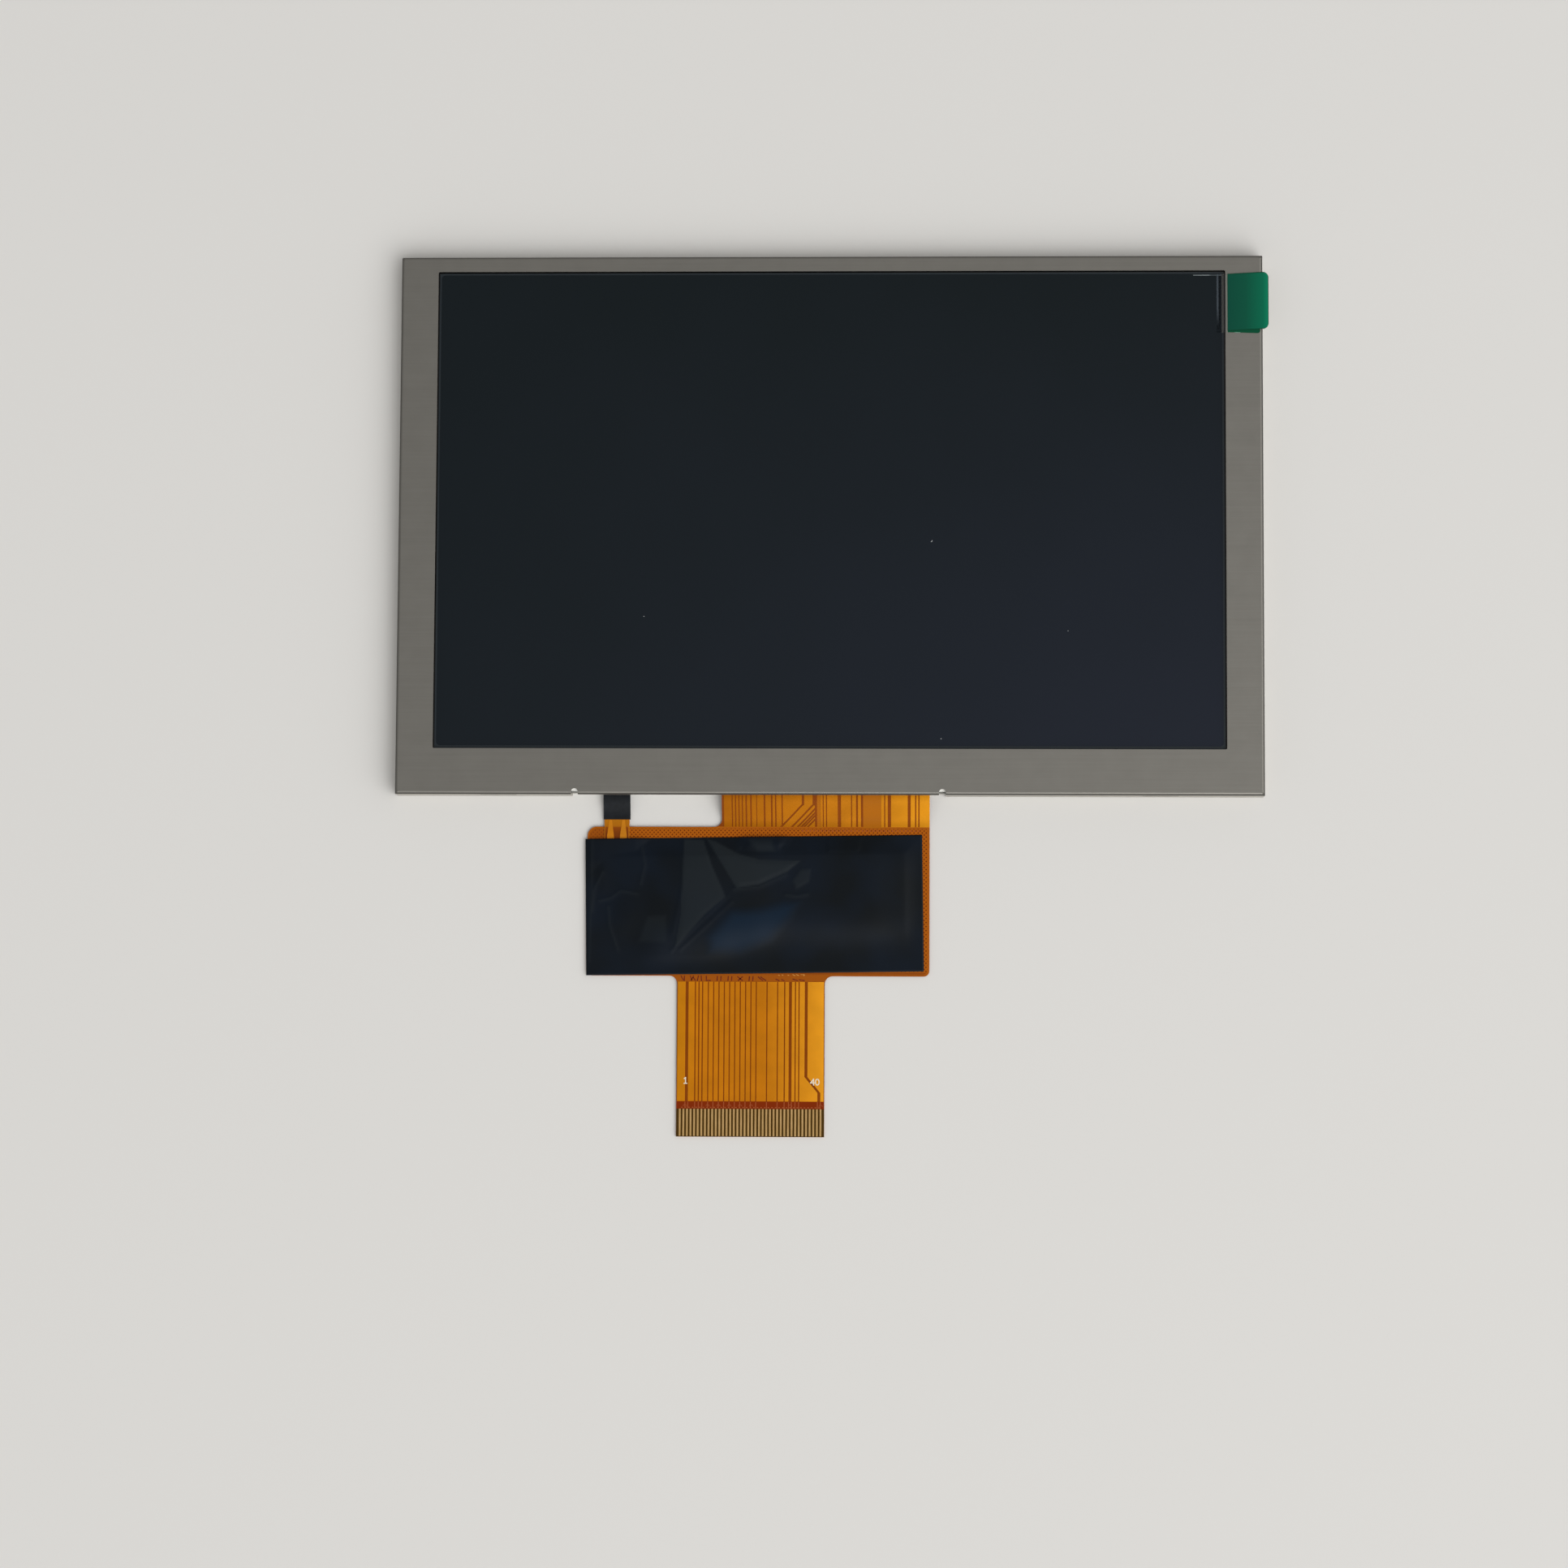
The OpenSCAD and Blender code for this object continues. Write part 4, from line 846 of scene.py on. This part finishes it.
class DISPLAY_OT_parts(bpy.types.Operator):
    """Finish the chips and the small parts under the tape"""

    bl_idname = "display.parts"
    bl_label = "Parts under the tape"

    def execute(self, context):
        # Epoxy moulding compound: dull dark grey with a sandy grain
        moulding = mottled("black moulding compound", "18191b", "232426", 14, 0.006, roughness=0.55)[0]
        wear(["power_chip", "buffer_chip", "diode"], moulding)
        # Ferrite: dull grey with the grain of pressed powder
        wear(["inductor"], mottled("dark ferrite", "333335", "424244", 10, 0.006, roughness=0.6)[0])
        # Ceramic bodies, each with a plated tin band at both ends
        kinds = (("capacitor", "9a805f", "b09676", 0.4), ("resistor", "232528", "333538", 0.3))
        for stem, low, high, rough in kinds:
            for name in numbered(stem):
                label = name.replace("_", " ") + " ceramic"
                made, tree, shader = mottled(label, low, high, 8, 0.002, roughness=rough)
                start, end = (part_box(name)[i][0] / MM for i in (0, 1))
                body = within(tree, coordinates(tree)[0], start + BAND, end - BAND)
                ceramic = shader.inputs["Base Color"].links[0].from_socket
                dress(tree, shader, layered(tree, "b5b7b8", (body, ceramic)))
                tin = add_node(tree, "ShaderNodeMath", {0: body, 1: 0.5}, operation="LESS_THAN").outputs[0]
                tree.links.new(shader.inputs["Metallic"], tin)
                wear([name], made)
        return {"FINISHED"}


# ---------- tape and tab ----------

# Grid of the tape's drape: its cell in millimetres, and how many cells the tape spans and is evened out over
TAPE_CELL = 0.22
TAPE_SPAN = 11
TAPE_EVEN = 6.0
# Distances from the tape's edge, in millimetres, over which it comes down to the film and its folds fade out
TAPE_LANDING = 2.5
TAPE_STUCK = 1.2
# Outlines of the tape's facets and lines of its folds, in millimetres in the module's frame
KITE = (
    (-17.2, -43.7), (-15.6, -44.2), (-12.5, -45.9), (-9.6, -46.7), (-3.5, -46.8), (-5.8, -48.7),
    (-9.6, -50.4), (-12.8, -50.9),
)
LEFT_FACET = (
    (-20.2, -43.8), (-17.3, -44.0), (-16.0, -47.8), (-14.1, -52.0), (-17.0, -54.5), (-21.4, -59.4),
    (-20.6, -54.5),
)
RIM_FACET = ((-12.0, -43.6), (-7.6, -43.7), (-7.0, -46.0), (-10.0, -46.0))
BLUE_LENS = (
    (-13.8, -53.2), (-9.5, -52.9), (-6.2, -51.9), (-3.0, -52.2), (-4.6, -55.4), (-7.5, -58.6),
    (-11.9, -60.6), (-17.2, -60.4), (-17.4, -57.2),
)
SMALL_LENS = ((-5.2, -49.6), (-3.9, -47.9), (-2.2, -47.8), (-2.5, -50.0), (-4.6, -51.2))
LOW_LEFT_FACET = ((-25.4, -54.4), (-22.2, -54.2), (-22.0, -58.8), (-26.8, -58.6))
FOLD_LINES = (
    ((-14.1, -51.9), (-17.6, -55.2), (-21.8, -59.5)),
    ((-13.4, -52.6), (-17.0, -56.0), (-20.6, -59.3)),
    ((-20.2, -43.6), (-20.1, -50.0), (-21.6, -57.0)),
    ((-25.9, -45.2), (-25.5, -47.6), (-26.1, -50.2)),
    ((-32.9, -44.0), (-33.0, -52.0), (-33.2, -61.0)),
    ((-31.4, -48.6), (-32.6, -51.0), (-32.9, -54.0)),
    ((-31.9, -52.6), (-30.3, -52.2), (-28.9, -51.2), (-26.6, -51.6)),
    ((-30.6, -53.4), (-30.4, -56.0), (-29.2, -59.4)),
    ((-5.9, -51.7), (-4.2, -51.9), (-2.9, -51.6)),
    ((-13.2, -51.0), (-9.6, -50.6), (-5.9, -48.9)),
)
# Bulges: outline, share of the crease's height, and width of the slope at the rim in millimetres
BULGES = ((KITE, 0.9, 0.8), (LEFT_FACET, 0.7, 0.7), (BLUE_LENS, 0.45, 1.5), (SMALL_LENS, 0.5, 0.6))
# Folds: share of the crease's height, and width in millimetres
FOLD_HEIGHT = 0.45
FOLD_WIDTH = 0.28
# Facets with a painted highlight: outline, strength, and width of the fading rim in millimetres
HIGHLIT_FACETS = (
    (KITE, 0.75, 0.25),
    (LEFT_FACET, 0.7, 0.25),
    (RIM_FACET, 0.5, 0.8),
    (SMALL_LENS, 0.5, 0.5),
    (LOW_LEFT_FACET, 0.35, 0.8),
)
# Folds with a painted highlight, all but the first few, with their strength and width in millimetres
HIGHLIT_FOLDS = FOLD_LINES[3:]
FOLD_HIGHLIGHT_STRENGTH = 0.35
FOLD_HIGHLIGHT_WIDTH = 0.16


def inside(points, outline, soft):
    """How far inside a closed outline each point lies, from 0 at its line to 1 at the depth soft."""
    corners = np.array(outline)
    ends = np.roll(corners, -1, axis=0)
    nearest = np.full(len(points), 1e9)
    crossings = np.zeros(len(points), int)
    for a, b in zip(corners, ends):
        along = np.clip(((points - a) @ (b - a)) / ((b - a) @ (b - a)), 0, 1)
        nearest = np.minimum(nearest, np.linalg.norm(points - a - along[:, None] * (b - a), axis=1))
        spans = (a[1] > points[:, 1]) != (b[1] > points[:, 1])
        at = a[0] + (points[:, 1] - a[1]) * (b[0] - a[0]) / (b[1] - a[1] + 1e-12)
        crossings += spans & (points[:, 0] < at)
    depth = np.where(crossings % 2 == 1, nearest, 0) / soft
    eased = np.clip(depth, 0, 1)
    return eased * eased * (3 - 2 * eased)


def beside(points, line, width):
    """How near each point lies to an open line of points: 1 on it, fading over a width."""
    nearest = np.full(len(points), 1e9)
    corners = np.array(line)
    for a, b in zip(corners[:-1], corners[1:]):
        along = np.clip(((points - a) @ (b - a)) / ((b - a) @ (b - a)), 0, 1)
        nearest = np.minimum(nearest, np.linalg.norm(points - a - along[:, None] * (b - a), axis=1))
    return np.exp(-((nearest / width) ** 2))


def widened(grid, reach):
    """A grid of heights, each raised to the greatest within a reach in cells."""
    for which in (0, 1):
        padded = np.pad(grid, [(reach, reach) if a == which else (0, 0) for a in (0, 1)], mode="edge")
        grid = np.max([np.roll(padded, -k, axis=which) for k in range(2 * reach + 1)], axis=0)
        grid = grid.take(range(padded.shape[which] - 2 * reach), axis=which)
    return grid


def blurred(grid, radius):
    """A grid of heights, evened out over a radius in cells."""
    reach = int(3 * radius)
    kernel = np.exp(-0.5 * (np.arange(-reach, reach + 1) / radius) ** 2)
    kernel /= kernel.sum()
    for axis in (0, 1):
        padded = np.pad(grid, [(reach, reach) if a == axis else (0, 0) for a in (0, 1)], mode="edge")
        grid = np.apply_along_axis(lambda line: np.convolve(line, kernel, "valid"), axis, padded)
    return grid


def met(solid, places, above, missing):
    """The height at which an upright ray through each place first meets a solid, from above or from below,
    and missing where it meets nothing."""
    start, way = (1, -1) if above else (-1, 1)
    hits = [solid.ray_cast(Vector((x, y, start)), Vector((0, 0, way)))[0] for x, y in places]
    return np.array([missing if hit is None else hit[2] for hit in hits])


class DISPLAY_OT_tape(bpy.types.Operator):
    """Lay the creased black tape over the components"""

    bl_idname = "display.tape"
    bl_label = "Component tape"

    def execute(self, context):
        s = settings().tape
        # Corners of the tape from its CAD solid: the lower left one first, then anticlockwise
        cad = NODES["component_tape"].data
        points = np.array([v.co for v in cad.vertices])
        corner_at = [points[np.argmin(points[:, :2] @ d)][:2] for d in ((1, 1), (-1, 1), (-1, -1), (1, -1))]
        low_left, low_right, _, high_left = corner_at
        right, upward = low_right - low_left, high_left - low_left
        columns, rows = (int(np.linalg.norm(side) / (TAPE_CELL * MM)) for side in (right, upward))
        across, up = np.meshgrid(np.linspace(0, 1, columns + 1), np.linspace(0, 1, rows + 1))
        plan = low_left + across[..., None] * right + up[..., None] * upward
        # Underside of the drape over the parts, evened out so that the tape spans from part to part
        solid = BVHTree.FromPolygons([v.co[:] for v in cad.vertices], [p.vertices[:] for p in cad.polygons])
        floor_z = float(points[:, 2].min())
        flat = plan.reshape(-1, 2)
        nudged = flat + (plan.mean(axis=(0, 1)) - flat) * 1e-4
        held, top = (met(solid, nudged, above, floor_z).reshape(across.shape) for above in (False, True))
        thickness = float(np.median(top - held))
        lift = held - floor_z
        spanned = blurred(widened(lift, TAPE_SPAN), TAPE_EVEN)
        edge_cells = np.minimum(np.minimum(across, 1 - across) * columns, np.minimum(up, 1 - up) * rows)
        edge = edge_cells * TAPE_CELL
        spanned = np.maximum(spanned * np.clip(edge / TAPE_LANDING, 0, 1), lift)
        # Folds and facets, which fade out towards the stuck edges
        at = flat / MM
        held_down = np.clip(edge / TAPE_STUCK, 0, 1).ravel()
        shape = sum(height * inside(at, outline, soft) for outline, height, soft in BULGES)
        for line in FOLD_LINES:
            shape += FOLD_HEIGHT * beside(at, line, FOLD_WIDTH)
        lifted = (spanned.ravel() + s.crease * shape * held_down).reshape(across.shape)
        under = np.dstack([plan, floor_z + lifted]).reshape(-1, 3)
        over = under + (0, 0, thickness)
        stride = columns + 1
        total = len(under)
        faces = []
        for j in range(rows):
            for a in range(j * stride, j * stride + columns):
                b = a + stride
                faces.append((b, b + 1, a + 1, a))
                faces.append((total + a, total + a + 1, total + b + 1, total + b))
        ring = list(range(columns)) + [j * stride + columns for j in range(rows)]
        ring += [rows * stride + i for i in range(columns, 0, -1)]
        ring += [j * stride for j in range(rows, 0, -1)]
        for a, b in zip(ring, ring[1:] + ring[:1]):
            faces.append((a, b, total + b, total + a))
        # Black polyester tape: its facets and some folds are painted paler, a painted highlight where they
        # catch the light, and its large bulge is painted bluer, a painted reflection
        tape, tree, shader = material("black polyester tape", roughness=0.34, ior=1.28)
        plain = along(tree, spots(tree, 0.12), ((0.35, s.colour), (0.65, "07111c")))
        lit_facet_mask, blue_reflection_mask = (
            add_node(tree, "ShaderNodeAttribute", attribute_name=name).outputs["Fac"]
            for name in ("facet_highlight", "painted_sheen")
        )
        tone = layered(tree, plain, (lit_facet_mask, "1d2327"), (blue_reflection_mask, "071e31"))
        dress(tree, shader, tone, spots(tree, 4), 0.002, 0.5)
        piece = piece_from(
            "tape_over_parts",
            np.vstack([under, over]),
            faces,
            tape,
            smooth=True,
            slot="component_tape",
            replaces=["component_tape"],
        )
        # Masks of the painted highlight on facets and folds, and of the painted blue reflection on the large
        # bulge
        facet_highlight = sum(strength * inside(at, outline, soft) for outline, strength, soft in HIGHLIT_FACETS)
        for line in HIGHLIT_FOLDS:
            facet_highlight += FOLD_HIGHLIGHT_STRENGTH * beside(at, line, FOLD_HIGHLIGHT_WIDTH)
        painted_sheen = 0.75 * inside(at, BLUE_LENS, 2.2)
        for name, values in (("facet_highlight", facet_highlight), ("painted_sheen", painted_sheen)):
            layer = piece.data.attributes.new(name, "FLOAT", "POINT")
            both_sides = np.clip(np.concatenate([values, values]), 0, 1)
            layer.data.foreach_set("value", both_sides.astype(np.float32))
        return {"FINISHED"}


# Darker green along the flap's right, upper and lower edges
FLAP_EDGE_GREEN = "07402c"
# Turns of the flap's and the lower layer's long edges against the module, in degrees
FLAP_TURN = 3.1
LAYER_TURN = 1.9
# Places on X of the painted glint on the lower layer's edge and of the painted highlight where the leader
# bends, and the painted shine of the leader's left edge, which rises along X and Y, in millimetres
GLINT = (56.4, 57.2)
LEADER_BEND = (54.68, 54.93)
SHINE_X = (54.28, 54.14)
SHINE_Y = (28, 30.5)


class DISPLAY_OT_tab(bpy.types.Operator):
    """Finish the green pull tab on the film's corner"""

    bl_idname = "display.tab"
    bl_label = "Pull tab"

    def execute(self, context):
        s = settings().tab
        # Dyed polyester on a clear leader: the leader shows the screen and the bezel through it. The green
        # layers are painted paler towards the free end, a painted highlight where they lift, and darker along
        # the flap's edges
        green, tree, shader = material("green dyed polyester film", roughness=0.35, ior=1.2)
        x, y, z = coordinates(tree)
        points = np.array([v.co for v in NODES["pull_tab"].data.vertices]) / MM
        top, right = points[:, 2].max(), points[:, 0].max()
        flap = points[points[:, 2] > top - 0.02]
        flap_left = flap[:, 0].min()
        stops = ((flap_left, "0a4838"), (58, "0b503c"), (60.4, s.colour), (right - 0.12, "0c7a58"))
        slope = math.tan(math.radians(FLAP_TURN))
        rise = add_node(tree, "ShaderNodeMath", {0: x, 1: slope}, operation="MULTIPLY").outputs[0]
        across = add_node(tree, "ShaderNodeMath", {0: y, 1: rise}, operation="SUBTRACT").outputs[0]
        heights = flap[:, 1] - slope * flap[:, 0]
        flap_edge_bands = (
            within(tree, x, right - 0.07, right + 1),
            within(tree, across, heights.max() - 0.1, heights.max() + 1),
            within(tree, across, heights.min() - 1, heights.min() + 0.08),
        )
        # The layer under the flap is painted darker as the flap's shadow, with a painted glint on its cut
        # edge
        lower = within(tree, z, 2, top - 0.05)
        slope = math.tan(math.radians(LAYER_TURN))
        stuck = points[(points[:, 2] < top - 0.05) & (points[:, 0] > flap_left)]
        rim = (stuck[:, 1] + slope * stuck[:, 0]).min()
        fall = add_node(tree, "ShaderNodeMath", {0: x, 1: slope}, operation="MULTIPLY").outputs[0]
        across = add_node(tree, "ShaderNodeMath", {0: y, 1: fall}, operation="ADD").outputs[0]
        along_rim, bright = within(tree, across, rim - 1, rim + 0.06), within(tree, x, *GLINT)
        painted_glint = add_node(tree, "ShaderNodeMath", {0: along_rim, 1: bright}, operation="MINIMUM").outputs[0]
        painted_flap_shadow = layered(tree, "064a31", (painted_glint, "5f9079"))
        # The leader's left edge has a soft painted highlight, and so do its bend and its edge beside the flap
        clear = within(tree, x, flap_left - 4, flap_left)
        strip, bend = within(tree, x, flap_left - 0.15, flap_left), within(tree, x, *LEADER_BEND)
        fading, rising = (
            add_node(tree, "ShaderNodeMapRange", {"value": value}, from_min=start, from_max=end).outputs[0]
            for value, (start, end) in ((x, SHINE_X), (y, SHINE_Y))
        )
        painted_shine = add_node(tree, "ShaderNodeMath", {0: fading, 1: rising}, operation="MINIMUM").outputs[0]
        for mask in (bend, strip):
            painted_shine = add_node(
                tree, "ShaderNodeMath", {0: painted_shine, 1: mask}, operation="MAXIMUM"
            ).outputs[0]
        leader = layered(tree, "59626a", (strip, "a2a89c"), (bend, "6a6a66"))
        tone = layered(
            tree,
            along(tree, x, stops),
            *((cut, FLAP_EDGE_GREEN) for cut in flap_edge_bands),
            (lower, painted_flap_shadow),
            (clear, leader),
        )
        dress(tree, shader, tone, spots(tree, 0.8), 0.02, 0.4)
        # The leader lets most of what is behind it through, and less where its highlights are painted
        shine = {0: painted_shine, 1: 0.5, 2: 0.03}
        seen = add_node(tree, "ShaderNodeMath", shine, operation="MULTIPLY_ADD").outputs[0]
        alpha = add_node(tree, "ShaderNodeMix", {0: clear, 2: 1.0, 3: seen}, data_type="FLOAT").outputs[0]
        tree.links.new(shader.inputs["Alpha"], alpha)
        wear(["pull_tab"], green)
        return {"FINISHED"}


# ---------- stage ----------

# The camera's place in metres and its turn in degrees
CAMERA_PLACE = (0.01393, -0.08665, 0.56316)
CAMERA_TURN = (5.1309, 2.0258, 0.3051)
# Half the width of the floor in metres
FLOOR_HALF = 3.0
# The light from all round: how much brighter it grows along each axis, and its middle strength
SKY_LEAN = (0.26, -0.28, -0.65)
SKY_LEVEL = 0.99
# Soft boxes: name, place and width in metres, and power in watts
SOFT_BOXES = (
    ("main soft box", (1.35, -1.3, 1.85), 2.4, 44.0),
    ("overhead soft box", (0.4, -0.55, 1.6), 0.8, 1.0),
)


class DISPLAY_OT_stage(bpy.types.Operator):
    """Set up the pale floor, the soft light and the camera"""

    bl_idname = "display.stage"
    bl_label = "Stage"

    def execute(self, context):
        s = settings().stage
        scene = context.scene
        # The camera looks down at the module, from a little below its middle
        lens = bpy.data.cameras.new("camera")
        lens.lens = s.lens
        lens.sensor_width = 36
        lens.clip_start, lens.clip_end = 0.01, 20
        camera = bpy.data.objects.new("camera", lens)
        camera.location = CAMERA_PLACE
        camera.rotation_euler = Euler([math.radians(a) for a in CAMERA_TURN])
        scene.collection.objects.link(camera)
        scene.camera = camera
        # Plain pale floor, matte
        floor_paint = material("pale matte paint", roughness=0.9, base_color=linear(s.floor_colour))[0]
        mesh = bpy.data.meshes.new("floor")
        corners = [(x * FLOOR_HALF, y * FLOOR_HALF, 0) for x, y in ((-1, -1), (1, -1), (1, 1), (-1, 1))]
        mesh.from_pydata(corners, [], [(0, 1, 2, 3)])
        mesh.materials.append(floor_paint)
        floor = bpy.data.objects.new("floor", mesh)
        scene.collection.objects.link(floor)
        # Even light from all round, as in a pale room: darker overhead than near the floor, and brighter on
        # the lamp's side
        world = bpy.data.worlds.new("studio")
        scene.world = world
        world.use_nodes = True
        tree = world.node_tree
        tree.nodes.clear()
        direction = add_node(tree, "ShaderNodeTexCoord").outputs["Generated"]
        lean = add_node(tree, "ShaderNodeVectorMath", {0: direction, 1: SKY_LEAN}, operation="DOT_PRODUCT")
        level = {0: lean.outputs["Value"], 1: SKY_LEVEL}
        strength = add_node(tree, "ShaderNodeMath", level, operation="ADD").outputs[0]
        sky = add_node(tree, "ShaderNodeBackground", {"strength": strength}, color=(1, 1, 1, 1))
        add_node(tree, "ShaderNodeOutputWorld", {"surface": sky.outputs[0]})
        # Soft boxes: the main one to the right and in front, and a weaker one nearer to overhead
        for name, place, size, power in SOFT_BOXES:
            light = bpy.data.lights.new(name, "AREA")
            light.size = size
            light.energy = power
            lamp = bpy.data.objects.new(name, light)
            lamp.location = place
            lamp.rotation_euler = (-Vector(place)).to_track_quat("-Z", "Y").to_euler()
            scene.collection.objects.link(lamp)
        scene.view_settings.view_transform = "Standard"
        return {"FINISHED"}


OPERATORS = (
    DISPLAY_OT_shells,
    DISPLAY_OT_screen,
    DISPLAY_OT_backlight,
    DISPLAY_OT_main_flex,
    DISPLAY_OT_led_flex,
    DISPLAY_OT_parts,
    DISPLAY_OT_tape,
    DISPLAY_OT_tab,
    DISPLAY_OT_stage,
)


class DISPLAY_PT_panel(bpy.types.Panel):
    """Lists the steps that finish the display module"""

    bl_label = "Display module"
    bl_idname = "DISPLAY_PT_panel"
    bl_space_type = "VIEW_3D"
    bl_region_type = "UI"
    bl_category = "Display module"

    def draw(self, context):
        for operator in OPERATORS:
            self.layout.operator(operator.bl_idname)


CLASSES = (
    BezelSettings,
    ScreenSettings,
    FlexSettings,
    TapeSettings,
    TabSettings,
    StageSettings,
    ModuleSettings,
    *OPERATORS,
    DISPLAY_PT_panel,
)


def register():
    for cls in CLASSES:
        bpy.utils.register_class(cls)
    bpy.types.Scene.display_module = bpy.props.PointerProperty(type=ModuleSettings)


def unregister():
    del bpy.types.Scene.display_module
    for cls in reversed(CLASSES):
        bpy.utils.unregister_class(cls)


def main():
    register()
    for operator in OPERATORS:
        group, name = operator.bl_idname.split(".")
        getattr(getattr(bpy.ops, group), name)()


if __name__ == "__main__":
    main()
